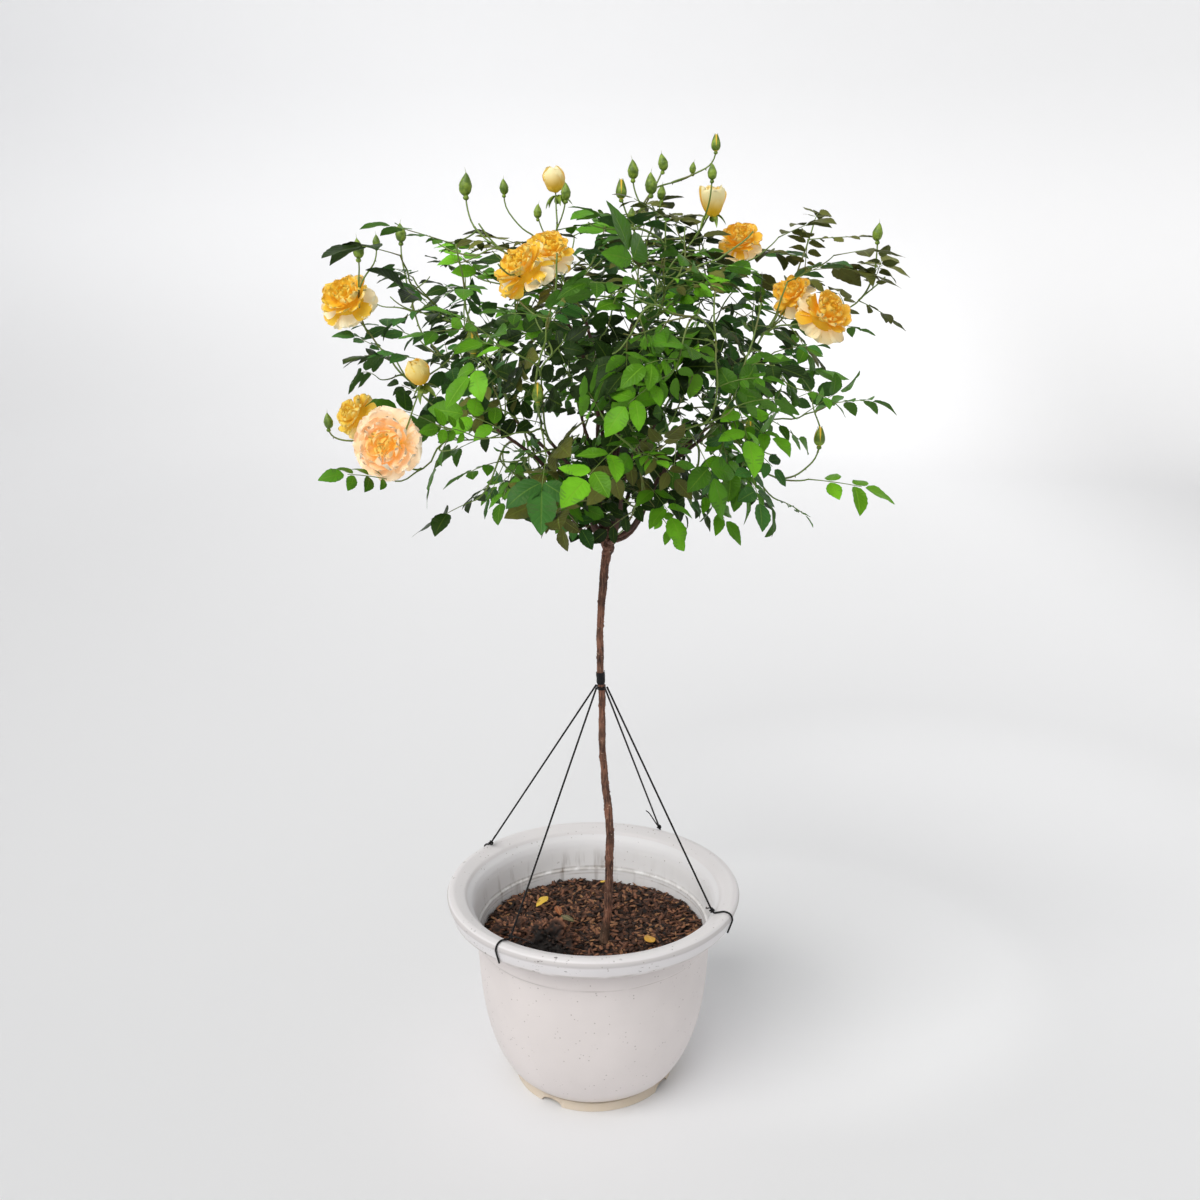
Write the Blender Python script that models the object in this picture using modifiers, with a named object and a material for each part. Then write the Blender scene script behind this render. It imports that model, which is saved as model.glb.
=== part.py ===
"""Potted standard rose: a round plastic pot filled to its ledge with bark mulch, one bare stem with a
tie band and four taut guy cords, and a wide airy crown of twelve boughs and twelve masses of leaves,
blooms and buds. Metres, +Z up, the camera side is -Y, the origin is the centre of the pot's underside.
"""

import math
import random

import bmesh
import bpy
from mathutils import Matrix, Vector
from mathutils.bvhtree import BVHTree

GAP = 0.0003            # clear space kept between pieces that touch
MERGE = 0.000001        # corners nearer than this are one
UP = Vector((0.0, 0.0, 1.0))

# Pot: outer radii and heights
POT_HEIGHT = 0.295
RIM_RADIUS = 0.210
RIM_INNER_RADIUS = 0.180
RIM_INNER_HEIGHT = 0.283
LIP_LOW = 0.266
COLLAR_RADIUS = 0.172
COLLAR_HEIGHT = 0.226
COLLAR_STEP = 0.0035
BOWL_TOP_RADIUS = 0.168
FOOT_RADIUS = 0.115
FOOT_HEIGHT = 0.011
WALL = 0.004
LEDGE_HEIGHT = 0.234
LEDGE_WIDTH = 0.008
POT_SIDES = 36
BOWL_LEVELS = (0.170, 0.120, 0.080, 0.050, 0.030)
BOWL_FLARE = 0.09       # share of the bowl's widening that is even from foot to collar; the rest is round
NOTCH_AZIMUTH = 239.0   # degrees from +X, the notch left of the middle of the front
NOTCH_WIDTH = 0.034
NOTCH_REACH = 0.026     # how far each notch runs in from the side of the foot
NOTCH_ARCH = 0.55       # height of its arch as a share of half its width

# Mulch: fills the pot from its floor, its top is humped and has a heap of clods at the front left
MULCH_HEIGHT = 0.220
MULCH_RINGS = 7
MULCH_SIDES = 24
MULCH_HUMP = 0.003
CLODS = (-0.072, -0.030)
CLODS_HEIGHT = 0.016
CLODS_SPREAD = 0.026
TRUNK_SEAT_RADIUS = 0.013
TRUNK_SEAT_BLEND = 0.030
MULCH_FIT = 0.997       # keeps its flat sides clear of the pot's

# Trunk: x, y, z and radius along its middle, from the cut at the mulch to the swollen head
TRUNK_PATH = (
    (0.0150, -0.0300, 0.2203, 0.0082),
    (0.0166, -0.0300, 0.2330, 0.0061),
    (0.0205, -0.0297, 0.2680, 0.0050),
    (0.0236, -0.0290, 0.3530, 0.0047),
    (0.0222, -0.0280, 0.4050, 0.0049),
    (0.0157, -0.0265, 0.4790, 0.0048),
    (0.0118, -0.0250, 0.5800, 0.0047),
    (0.0095, -0.0235, 0.6400, 0.0047),
    (0.0117, -0.0225, 0.7180, 0.0049),
    (0.0135, -0.0215, 0.7560, 0.0056),
    (0.0185, -0.0205, 0.7850, 0.0062),
    (0.0200, -0.0200, 0.8000, 0.0086),
    (0.0200, -0.0200, 0.8250, 0.0088),
    (0.0200, -0.0200, 0.8310, 0.0074),
)
CUT_STRAIGHT = 0.003    # the foot's first stretch is upright, so its cut is level
CUT_TAPER = 0.93
HEAD = Vector((0.0200, -0.0200, 0.8100))
HEAD_RADIUS = 0.0088
HEAD_ROWS = (0.8045, 0.8125, 0.8205)

# Tie band round the trunk and the cords that it holds
BAND_LOW = 0.606
BAND_HEIGHT = 0.018
BAND_THICK = 0.0016
BAND_SIDES = 16
CORD_RADIUS = 0.0012
CORD_TOP = 0.603
CORD_AZIMUTHS = {"front_left": 233.0, "front_right": 335.0, "back_right": 60.0, "back_left": 143.0}

# Crown: centres of the masses as azimuth, reach from the head's axis and height
RING_AZIMUTHS = {
    "right": 15, "back_right": 60, "back": 105, "back_left": 150,
    "left": 195, "front_left": 240, "front": 285, "front_right": 330,
}
TOP_AZIMUTHS = {"top_right": 30, "top_back": 120, "top_left": 210, "top_front": 300}
RING_CENTRE = (0.250, 1.020)
TOP_CENTRE = (0.080, 1.170)
RING_ENTRY = (0.105, 0.925)
TOP_ENTRY = (0.034, 1.040)
CELL_GAP = 0.0016       # clear space between two masses
LIMB_GAP = 0.0015       # clear space between twigs or leaves and a limb
BOUGH_BASE = 0.0032
BOUGH_TIP = 0.0024
BOUGH_POINTS = 7
BOUGH_STRAIGHT = 0.005  # its ends are straight, so their flat faces lie square to what they meet
BOUGH_SWEEP = 0.45      # length of its upper handle as a share of its span
RING_SPREAD = 0.28      # length of its lower, level handle
TOP_SPREAD = 0.16
CROWN_LOW = 0.800
CROWN_TOP = 1.222
CROWN_REACH = 0.345
CROWN_HOLLOW = 0.45     # no seeded tip lies nearer the middle than this share of the reach
CROWN_CAP = 0.060       # depth under the top where the crown has no such hollow
RING_RISE = 0.75        # rise of a bough's tip for each metre out
TOP_RISE = 1.9
TIPS_RING = 6           # seeded twigs of a mass, besides those to blooms, buds and sprays
TIPS_TOP = 5
TIP_ROOM = 0.014
TIP_TRIES = 40
TIP_REACH_LOW = 0.04
TIP_FAR = 0.2           # tips this far from the others are all as good
STEM_LENGTH = 0.050
STEM_POINTS = ((0.0, 1.0), (0.4, 0.94), (0.7, 0.88), (1.0, 0.8))    # share of length, share of radius
TWIG_TIP = 0.0012
TWIG_ROOT = 0.42        # a twig starts this much of its parent's radius thick, inside the parent
TWIG_SIDES = 3
TWIG_TRIES = 14         # places that a twig tries to start from
TWIG_SHORTEST = 0.03
TWIG_LONG = 0.11        # a twig longer than this has one more point
TWIG_TURN = 0.9         # how much a turn away from its parent counts against a place
TWIG_SWAY = 0.04
TWIG_LEAVE = 0.30       # lengths of its two handles, as shares of its length
TWIG_ARRIVE = 0.34
TWIG_LIFT = 0.55        # how far its tip bends upward
TWIG_TAPER = 0.82       # its radius at its base as a share of its parent's
BLOOM_BARE = 0.045      # length without leaves under a bloom and under a bud
BUD_BARE = 0.040
BLOOM_SEAT = 0.20       # its twig ends this share of its diameter behind the middle of a bloom
BUD_SEAT = 0.36
CLOSED_BLOOM = 0.040    # a bloom smaller than this is still a globe

# Leaves are larger than life, because they stand for many more
LEAF_LENGTH = 0.064
LEAF_WIDTH = 0.62       # share of its length
LEAF_THICK = 0.0014
LEAF_ROOT = 0.0003      # half the thickness of a leaf's root, which lies in the middle of its twig
LEAF_SUNK = 0.0002
LEAF_FACES = ((0, 2, 5), (2, 4, 5), (4, 3, 5), (3, 0, 5), (1, 4, 2), (1, 3, 4), (0, 1, 2), (1, 0, 3))
BLADE_START = 0.3       # the sheet that stands for a leaf in tests of touch leaves out its root
BLADE_FACES = ((0, 1, 5), (1, 2, 5), (2, 4, 5), (4, 3, 5), (3, 0, 5))
LEAF_STEP = 0.026
LEAF_START = 0.28       # share of a twig's length that is bare at its start
TIP_LEAD = 2.2          # how strongly a leaf at a tip follows its twig
SIDE_LEAD = 0.45
LEAF_TRIES = 5
LEAF_TURN = 1.3         # radians that a leaf turns on by for each new try
STEEPEST_LEAF = 0.40    # rise of a leaf for each metre of its length, at most
LOWEST_LEAF = 0.796
GOLDEN_TURN = math.radians(137.5)   # turn round the twig from each leaf to the next

# Blooms: place of the middle, diameter, azimuth and height of the way that they face, in degrees
BLOOMS = {
    "left_high": ((-0.312, -0.020, 1.120), 0.080, 165, 35),
    "left_low": ((-0.244, -0.160, 0.950), 0.080, 262, 12),
    "left_behind": ((-0.297, -0.095, 0.981), 0.058, 215, 30),
    "left_globe": ((-0.201, -0.160, 1.032), 0.030, 240, 60),
    "top_pair_front": ((-0.088, -0.100, 1.158), 0.078, 235, 45),
    "top_pair_back": ((-0.052, -0.046, 1.178), 0.066, 300, 60),
    "top_globe": ((-0.048, 0.030, 1.256), 0.030, 200, 80),
    "top_cup": ((0.150, -0.006, 1.231), 0.036, 270, 70),
    "right_top": ((0.192, 0.060, 1.192), 0.060, 300, 55),
    "right_pair_back": ((0.256, 0.030, 1.124), 0.060, 250, 50),
    "right_pair_front": ((0.302, -0.004, 1.100), 0.074, 290, 35),
}
# Buds: place of the middle and length
BUDS = (
    ((-0.155, -0.020, 1.251), 0.034), ((-0.112, 0.030, 1.251), 0.024), ((-0.033, 0.004, 1.244), 0.026),
    ((-0.069, 0.020, 1.221), 0.022), ((-0.287, -0.040, 1.175), 0.030), ((-0.269, -0.012, 1.184), 0.020),
    ((-0.248, 0.050, 1.196), 0.030), ((0.036, 0.000, 1.246), 0.028), ((0.052, 0.060, 1.274), 0.030),
    ((0.072, -0.020, 1.252), 0.032), ((0.087, 0.000, 1.278), 0.026), ((0.090, 0.080, 1.247), 0.024),
    ((0.154, 0.020, 1.302), 0.024), ((0.145, -0.040, 1.264), 0.024), ((0.128, 0.050, 1.275), 0.018),
    ((0.362, 0.020, 1.196), 0.028), ((0.275, -0.120, 0.955), 0.028), ((-0.059, -0.240, 1.019), 0.026),
    ((-0.135, -0.180, 1.072), 0.036), ((-0.318, -0.120, 0.974), 0.024), ((0.193, -0.100, 0.966), 0.024),
    ((0.050, 0.040, 1.218), 0.022),
)
# Leafy sprays that reach past the others
SPRAYS = (
    (0.380, 0.045, 1.140), (0.335, -0.010, 1.066), (0.300, -0.040, 0.985), (0.285, 0.045, 1.210),
    (0.262, -0.135, 0.905), (0.225, -0.140, 0.880), (0.125, -0.070, 0.862), (-0.150, -0.060, 0.865),
    (-0.235, -0.150, 0.905), (-0.255, -0.010, 1.045), (0.010, -0.270, 1.000), (0.060, -0.260, 0.950),
    (-0.030, -0.230, 0.890), (-0.020, -0.035, 0.850), (0.055, -0.050, 0.850),
)

# Colours and finishes from the photo: base colour, roughness
MATERIALS = {
    "pot": ((0.80, 0.77, 0.74, 1.0), 0.45),
    "mulch": ((0.10, 0.045, 0.025, 1.0), 0.95),
    "bark": ((0.13, 0.065, 0.04, 1.0), 0.80),
    "cord": ((0.012, 0.012, 0.013, 1.0), 0.50),
    "leaves": ((0.055, 0.19, 0.035, 1.0), 0.50),
}


def make_material(name):
    material = bpy.data.materials.get(name)
    if material is None:
        colour, roughness = MATERIALS[name]
        material = bpy.data.materials.new(name)
        material.use_nodes = True
        shader = material.node_tree.nodes["Principled BSDF"]
        shader.inputs["Base Color"].default_value = colour
        shader.inputs["Roughness"].default_value = roughness
        shader.inputs["Metallic"].default_value = 0.0
    return material


def add_object(name, mesh, collection, material=None):
    obj = bpy.data.objects.new(name, mesh)
    collection.objects.link(obj)
    if material:
        obj.data.materials.append(make_material(material))
    return obj


def mesh_of(name, shape):
    mesh = bpy.data.meshes.new(name)
    mesh.from_pydata(shape[0], [], shape[1])
    return mesh


def polar(azimuth_deg, reach, height=0.0):
    """A point at an azimuth and a reach from the axis of the trunk's head."""
    angle = math.radians(azimuth_deg)
    return Vector((HEAD.x + reach * math.cos(angle), HEAD.y + reach * math.sin(angle), height))


def facing(azimuth_deg, height_deg):
    """The unit vector of an azimuth and a height over the horizon."""
    azimuth, height = math.radians(azimuth_deg), math.radians(height_deg)
    return Vector((
        math.cos(height) * math.cos(azimuth), math.cos(height) * math.sin(azimuth), math.sin(height)))


def bezier(p0, p1, p2, p3, count):
    """Points along a cubic with two end points and two handles."""
    points = []
    for i in range(count):
        t = i / (count - 1)
        s = 1.0 - t
        points.append(p0 * s**3 + p1 * (3 * s * s * t) + p2 * (3 * s * t * t) + p3 * t**3)
    return points


def curve_object(name, points, radii, collection, sides, material):
    """A tapering round limb or cord: a poly curve with a bevel and filled caps."""
    data = bpy.data.curves.new(name, "CURVE")
    data.dimensions = "3D"
    data.bevel_depth = 1.0
    data.bevel_resolution = (sides - 4) // 2
    data.use_fill_caps = True
    spline = data.splines.new("POLY")
    spline.points.add(len(points) - 1)
    for point, place, radius in zip(spline.points, points, radii):
        point.co = (place.x, place.y, place.z, 1.0)
        point.radius = radius
    spline.use_smooth = True
    obj = bpy.data.objects.new(name, data)
    collection.objects.link(obj)
    data.materials.append(make_material(material))
    return obj


def turned(name, profile, steps, collection, material):
    """A profile of (radius, height) in the XZ plane, turned round Z; open ends lie on the axis."""
    mesh = bpy.data.meshes.new(name)
    vertices = [(radius, 0.0, height) for radius, height in profile]
    edges = [(i, i + 1) for i in range(len(profile) - 1)]
    mesh.from_pydata(vertices, edges, [])
    obj = add_object(name, mesh, collection, material)
    screw = obj.modifiers.new("turn", "SCREW")
    screw.steps = steps
    screw.render_steps = steps
    screw.use_merge_vertices = True
    screw.merge_threshold = 0.00005
    screw.use_smooth_shade = True
    return obj


def pot_outer_radius(height):
    """Outer radius of the bowl: round at its foot, then nearly upright to the collar."""
    share = min(1.0, (height - FOOT_HEIGHT) / (COLLAR_HEIGHT - FOOT_HEIGHT))
    low = FOOT_RADIUS + WALL
    upright = BOWL_TOP_RADIUS - low
    rounded = (1.0 - (1.0 - share) ** 2.7) ** 0.62
    return low + upright * ((1.0 - BOWL_FLARE) * rounded + BOWL_FLARE * share)


def pot_inner_radius(height):
    """Inner radius of the bowl: its outer line less the wall, and a little more at the floor."""
    corner = 0.004 if height <= FOOT_HEIGHT + WALL + GAP else 0.0
    return pot_outer_radius(height) - WALL - corner


def rim_profile():
    """The rounded rim from its inner edge over the top to the low edge of its lip."""
    return [
        (RIM_INNER_RADIUS, RIM_INNER_HEIGHT),
        (RIM_INNER_RADIUS + 0.004, RIM_INNER_HEIGHT + 0.0055),
        (RIM_RADIUS - 0.010, POT_HEIGHT),
        (RIM_RADIUS - 0.003, POT_HEIGHT - 0.0015),
        (RIM_RADIUS, POT_HEIGHT - 0.007),
        (RIM_RADIUS - 0.003, LIP_LOW + 0.012),
        (RIM_RADIUS - 0.007, LIP_LOW),
    ]


def pot_profile():
    """The whole wall: over the rim, down the outside to the middle of the underside, up the inside."""
    rim = rim_profile()
    collar = [
        (RIM_RADIUS - 0.011, LIP_LOW),
        (RIM_RADIUS - 0.017, LIP_LOW + 0.010),
        (COLLAR_RADIUS + 0.006, LIP_LOW + 0.006),
        (COLLAR_RADIUS, LIP_LOW - 0.003),
        (COLLAR_RADIUS - 0.001, COLLAR_HEIGHT + 0.002),
        (COLLAR_RADIUS - COLLAR_STEP, COLLAR_HEIGHT - 0.002),
    ]
    bowl = [(pot_outer_radius(z), z) for z in BOWL_LEVELS + (0.018, FOOT_HEIGHT)]
    foot = [(FOOT_RADIUS, FOOT_HEIGHT - 0.001), (FOOT_RADIUS, 0.0), (0.0, 0.0)]
    floor_height = FOOT_HEIGHT + WALL
    floor = [(0.0, floor_height), (pot_inner_radius(floor_height), floor_height)]
    inside = [(pot_inner_radius(z), z) for z in reversed(BOWL_LEVELS)]
    mouth = [
        (COLLAR_RADIUS - LEDGE_WIDTH, LEDGE_HEIGHT - 0.001),
        (COLLAR_RADIUS - WALL, LEDGE_HEIGHT),
        (COLLAR_RADIUS - WALL + 0.001, LIP_LOW),
    ]
    return rim[2:] + collar + bowl + foot + floor + inside + mouth + rim[:3]


def make_pot(parts, cutters):
    pot = turned("pot", pot_profile(), POT_SIDES, parts, "pot")
    for k in range(4):
        cut_notch(pot, k, cutters)


def cut_notch(pot, k, cutters):
    """An arched channel in the side of the foot, one of four at right angles."""
    angle = math.radians(NOTCH_AZIMUTH + 90.0 * k)
    bm = bmesh.new()
    half = NOTCH_WIDTH / 2
    bmesh.ops.create_cone(bm, cap_ends=True, segments=12, radius1=half, radius2=half, depth=NOTCH_REACH * 2)
    bmesh.ops.rotate(bm, verts=bm.verts, matrix=Matrix.Rotation(math.pi / 2, 3, "Y"))
    bmesh.ops.scale(bm, verts=bm.verts, vec=(1.0, 1.0, NOTCH_ARCH))
    mesh = bpy.data.meshes.new(f"notch_{k}")
    bm.to_mesh(mesh)
    bm.free()
    cutter = add_object(f"notch_{k}", mesh, cutters)
    cutter.location = (FOOT_RADIUS * math.cos(angle), FOOT_RADIUS * math.sin(angle), -GAP)
    cutter.rotation_euler = (0.0, 0.0, angle)
    cutter.hide_render = True
    cutter.display_type = "WIRE"
    cut = pot.modifiers.new(f"notch_{k}", "BOOLEAN")
    cut.operation = "DIFFERENCE"
    cut.object = cutter


def mulch_height(spot, angle):
    """Height of the mulch: two waves and the heap of clods, and flat where the trunk stands."""
    away = (spot - trunk_foot()).length
    wave = math.sin(3 * angle + 40 * away) + 0.6 * math.sin(5 * angle - 70 * away + 1.0)
    heap = CLODS_HEIGHT * math.exp(-((spot - Vector(CLODS)).length / CLODS_SPREAD) ** 2)
    share = min(1.0, max(0.0, (away - TRUNK_SEAT_RADIUS) / TRUNK_SEAT_BLEND))
    return MULCH_HEIGHT + share * (MULCH_HUMP * wave + heap)


def trunk_foot():
    return Vector(TRUNK_PATH[0][:2])


def make_mulch(parts):
    """A plug that stands on the pot's floor, clear of its wall; rings on top close in on the trunk."""
    angles = [2 * math.pi * i / MULCH_SIDES for i in range(MULCH_SIDES)]
    inscribed = math.cos(math.pi / POT_SIDES) * MULCH_FIT
    floor_height = FOOT_HEIGHT + WALL + GAP
    shoulder = MULCH_HEIGHT - 0.004
    corners = []
    for z in (floor_height,) + tuple(reversed(BOWL_LEVELS)) + (shoulder,):
        radius = (pot_inner_radius(z) - GAP) * inscribed
        corners.extend(Vector((radius * math.cos(a), radius * math.sin(a), z)) for a in angles)
    edge = (pot_inner_radius(shoulder) - GAP) * inscribed - 0.002
    for ring in range(MULCH_RINGS):
        for a in angles:
            way = Vector((math.cos(a), math.sin(a)))
            near = trunk_foot() + way * TRUNK_SEAT_RADIUS
            spot = near.lerp(way * edge, 1.0 - (ring + 1) / MULCH_RINGS)
            corners.append(Vector((spot.x, spot.y, mulch_height(spot, a))))
    rows = len(corners) // MULCH_SIDES
    faces = side_faces(rows, MULCH_SIDES) + end_faces(rows, MULCH_SIDES)
    add_object("mulch", mesh_of("mulch", (corners, faces)), parts, "mulch")


def side_faces(rows, sides):
    """The faces between rows of corners that run counterclockwise round a form from its start."""
    faces = []
    for row in range(rows - 1):
        for k in range(sides):
            j = (k + 1) % sides
            low, high = row * sides, (row + 1) * sides
            faces.append((low + k, low + j, high + j, high + k))
    return faces


def end_faces(rows, sides):
    return [tuple(reversed(range(sides))), tuple(range((rows - 1) * sides, rows * sides))]


def trunk_points():
    return [Vector(row[:3]) for row in TRUNK_PATH], [row[3] for row in TRUNK_PATH]


def trunk_at(height):
    """Middle and radius of the trunk at a height."""
    points, radii = trunk_points()
    for (a, b), (ra, rb) in zip(zip(points, points[1:]), zip(radii, radii[1:])):
        if a.z <= height <= b.z:
            share = (height - a.z) / (b.z - a.z)
            return a.lerp(b, share), ra + (rb - ra) * share
    raise ValueError("no trunk at that height")


def make_trunk(parts):
    """One round tapering limb; its first and last rings are level, so the cut at the mulch is flat."""
    points, radii = trunk_points()
    points.insert(1, points[0] + UP * CUT_STRAIGHT)
    radii.insert(1, radii[0] * CUT_TAPER)
    points[-2] = Vector((points[-1].x, points[-1].y, points[-2].z))
    return curve_object("trunk", points, radii, parts, 10, "bark")


def make_band(parts):
    """A sleeve wound round the trunk, clear of it by the gap; gives its outer radius."""
    middle, radius = trunk_at(BAND_LOW + BAND_HEIGHT / 2)
    inner = radius + 2 * GAP
    outer = inner + BAND_THICK
    low, high = BAND_LOW, BAND_LOW + BAND_HEIGHT
    lean = (trunk_at(high)[0] - trunk_at(low)[0]) / BAND_HEIGHT
    corners = []
    for reach, z in ((outer, low), (outer, high), (inner, high), (inner, low)):
        centre = middle + lean * (z - middle.z)
        for k in range(BAND_SIDES):
            angle = 2 * math.pi * k / BAND_SIDES
            corners.append(Vector((
                centre.x + reach * math.cos(angle), centre.y + reach * math.sin(angle), z)))
    faces = side_faces(4, BAND_SIDES)
    for k in range(BAND_SIDES):
        j = (k + 1) % BAND_SIDES
        faces.append((3 * BAND_SIDES + k, 3 * BAND_SIDES + j, j, k))
    add_object("tie_band", mesh_of("tie_band", (corners, faces)), parts, "cord")
    return outer


def cord_route(azimuth_deg, band_radius):
    """From the band straight to the rim's inner edge, then over the rim to the low edge of its lip."""
    out = facing(azimuth_deg, 0.0)
    lift = CORD_RADIUS + 2 * GAP
    over_rim = []
    rim = rim_profile()
    for before, here, after in zip(rim, rim[1:], rim[2:] + rim[-1:]):
        along = Vector((after[0] - before[0], after[1] - before[1])).normalized()
        over_rim.append(out * (here[0] - along.y * lift) + UP * (here[1] + along.x * lift))
    middle = trunk_at(CORD_TOP)[0]
    heading = over_rim[0] - middle
    heading.z = 0.0
    start = middle + heading.normalized() * (band_radius + CORD_RADIUS + GAP)
    start.z = CORD_TOP
    return [start] + over_rim


def make_cords(parts, band_radius):
    for place, azimuth in CORD_AZIMUTHS.items():
        route = cord_route(azimuth, band_radius)
        curve_object(f"guy_cord_{place}", route, [CORD_RADIUS] * len(route), parts, 8, "cord")


class Mass:
    """One mass of foliage: its name, the middle of its cell, and where and how its stem starts."""

    def __init__(self, name, azimuth, centre, entry, seed):
        self.name = name
        self.azimuth = azimuth
        self.centre = polar(azimuth, *centre)
        self.entry = polar(azimuth, *entry)
        self.seed = seed
        self.top = centre is TOP_CENTRE
        rise = TOP_RISE if self.top else RING_RISE
        self.heading = (facing(azimuth, 0.0) + UP * rise).normalized()
        self.planes = []

    def room(self, point):
        """How far a point lies inside the cell: the least distance to its flat sides."""
        return min((point - middle).dot(normal) for middle, normal in self.planes)


def make_masses():
    """Cells are the regions nearest each centre, so every cell is convex with flat sides."""
    masses = []
    for azimuths, centre, entry in (
            (RING_AZIMUTHS, RING_CENTRE, RING_ENTRY), (TOP_AZIMUTHS, TOP_CENTRE, TOP_ENTRY)):
        for name, azimuth in azimuths.items():
            masses.append(Mass(name, azimuth, centre, entry, 11 + 7 * len(masses)))
    for mass in masses:
        for other in masses:
            if other is not mass:
                between = mass.centre - other.centre
                mass.planes.append(((mass.centre + other.centre) / 2, between.normalized()))
    return masses


def bough_route(mass, row):
    """A cubic that leaves the head level, then sweeps up to the entry of its mass."""
    out = facing(mass.azimuth, 0.0)
    start = Vector((HEAD.x, HEAD.y, HEAD_ROWS[row])) + out * (HEAD_RADIUS + GAP)
    end = mass.entry - mass.heading * GAP
    span = (end - start).length
    handle = start + out * (span * (TOP_SPREAD if mass.top else RING_SPREAD))
    handle_end = end - mass.heading * (span * BOUGH_SWEEP)
    points = bezier(start, handle, handle_end, end, BOUGH_POINTS)
    points[1] = start + out * BOUGH_STRAIGHT
    points[-2] = end - mass.heading * BOUGH_STRAIGHT
    last = BOUGH_POINTS - 1
    radii = [BOUGH_BASE + (BOUGH_TIP - BOUGH_BASE) * i / last for i in range(BOUGH_POINTS)]
    return points, radii


def tube(points, radii, sides):
    """Corners and faces of a tapering many-sided tube with closed ends, which doesn't twist."""
    corners = []
    last = len(points) - 1
    u = (points[1] - points[0]).orthogonal()
    for i, (point, radius) in enumerate(zip(points, radii)):
        heading = (points[min(i + 1, last)] - points[max(i - 1, 0)]).normalized()
        u = (u - heading * u.dot(heading)).normalized()
        v = heading.cross(u)
        for k in range(sides):
            angle = 2 * math.pi * k / sides
            corners.append(point + u * (radius * math.cos(angle)) + v * (radius * math.sin(angle)))
    return corners, side_faces(len(points), sides) + end_faces(len(points), sides)


class Space:
    """Shapes that must not be touched, with a search tree that is made again when one is added."""

    def __init__(self):
        self.corners = []
        self.faces = []
        self.tree = None

    def add(self, shape):
        corners, faces = shape
        start = len(self.corners)
        self.corners.extend(corners)
        self.faces.extend([tuple(start + i for i in face) for face in faces])
        self.tree = None

    def touches(self, shape):
        if not self.faces:
            return False
        if self.tree is None:
            self.tree = BVHTree.FromPolygons(self.corners, self.faces)
        return bool(self.tree.overlap(BVHTree.FromPolygons(*shape)))


def crown_radius(height):
    """Reach of the crown at a height: a bowl that opens upward and rounds in at the top."""
    t = (height - CROWN_LOW) / (CROWN_TOP - CROWN_LOW)
    if not 0.0 < t < 1.0:
        return 0.0
    return CROWN_REACH * (1.0 - (1.0 - t) ** 2.4) ** 0.8 * (1.0 - t**8) ** 0.5


def in_shell(spot):
    """True in the outer part of the crown and anywhere near its top."""
    reach = math.hypot(spot.x - HEAD.x, spot.y - HEAD.y)
    widest = crown_radius(spot.z)
    return reach < widest and (reach > CROWN_HOLLOW * widest or spot.z > CROWN_TOP - CROWN_CAP)


def even_tips(mass, rng, count, taken):
    """Seeded tips inside one cell: each is the best of many tries for its distance from the others."""
    chosen = list(taken)
    for _ in range(count):
        tries = []
        while len(tries) < TIP_TRIES:
            azimuth, reach = rng.uniform(0, 360), rng.uniform(TIP_REACH_LOW, CROWN_REACH)
            spot = polar(azimuth, reach, rng.uniform(CROWN_LOW, CROWN_TOP))
            if in_shell(spot) and mass.room(spot) > TIP_ROOM:
                tries.append(spot)
        chosen.append(max(tries, key=lambda spot: min([(spot - tip).length for tip in chosen] + [TIP_FAR])))
    return chosen[len(taken):]


class Twig:
    """A tapering stretch of points; bare is the length at its tip that carries no leaves."""

    def __init__(self, points, radii, bare=0.0):
        self.points = points
        self.radii = radii
        self.bare = bare
        self.spans = [(b - a).length for a, b in zip(points, points[1:])]
        self.length = sum(self.spans)

    def stations(self):
        """Places along the twig with their heading and radius."""
        for i in range(1, len(self.points) - 1):
            heading = (self.points[i + 1] - self.points[i - 1]).normalized()
            yield self.points[i], heading, self.radii[i]

    def at(self, distance):
        """Point and heading at a distance from its start."""
        for a, b, span in zip(self.points, self.points[1:], self.spans):
            if distance <= span:
                return a.lerp(b, distance / span), (b - a).normalized()
            distance -= span
        return self.points[-1].copy(), (self.points[-1] - self.points[-2]).normalized()


def grow_twig(mass, twigs, target, bare, limbs, rng):
    """Grow to the target from the best-placed twig: one that is near and already heads that way."""
    options = []
    for twig in twigs:
        for place, heading, radius in twig.stations():
            way = target - place
            if way.length > TWIG_SHORTEST:
                turn = 1.0 - heading.dot(way.normalized())
                options.append((way.length * (1.0 + TWIG_TURN * turn), place, heading, radius))
    options.sort(key=lambda option: option[0])
    for _, place, heading, radius in options[:TWIG_TRIES]:
        way = target - place
        sway = Vector([rng.uniform(-TWIG_SWAY, TWIG_SWAY) for _ in range(3)]) * way.length
        handle = place + heading * (way.length * TWIG_LEAVE) + sway
        arriving = (way.normalized() + UP * TWIG_LIFT).normalized()
        handle_end = target - arriving * (way.length * TWIG_ARRIVE)
        count = 4 if way.length > TWIG_LONG else 3
        points = bezier(place, handle, handle_end, target, count)
        base = max(TWIG_TIP * 1.25, radius * TWIG_TAPER)
        radii = [base + (TWIG_TIP - base) * i / (count - 1) for i in range(count)]
        radii[0] = radius * TWIG_ROOT
        inside = all(mass.room(point) > r + CELL_GAP for point, r in zip(points, radii))
        clear = [radius_here + LIMB_GAP for radius_here in radii]
        if inside and not limbs.touches(tube(points, clear, TWIG_SIDES)):
            twigs.append(Twig(points, radii, bare))
            return True
    return False


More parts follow.
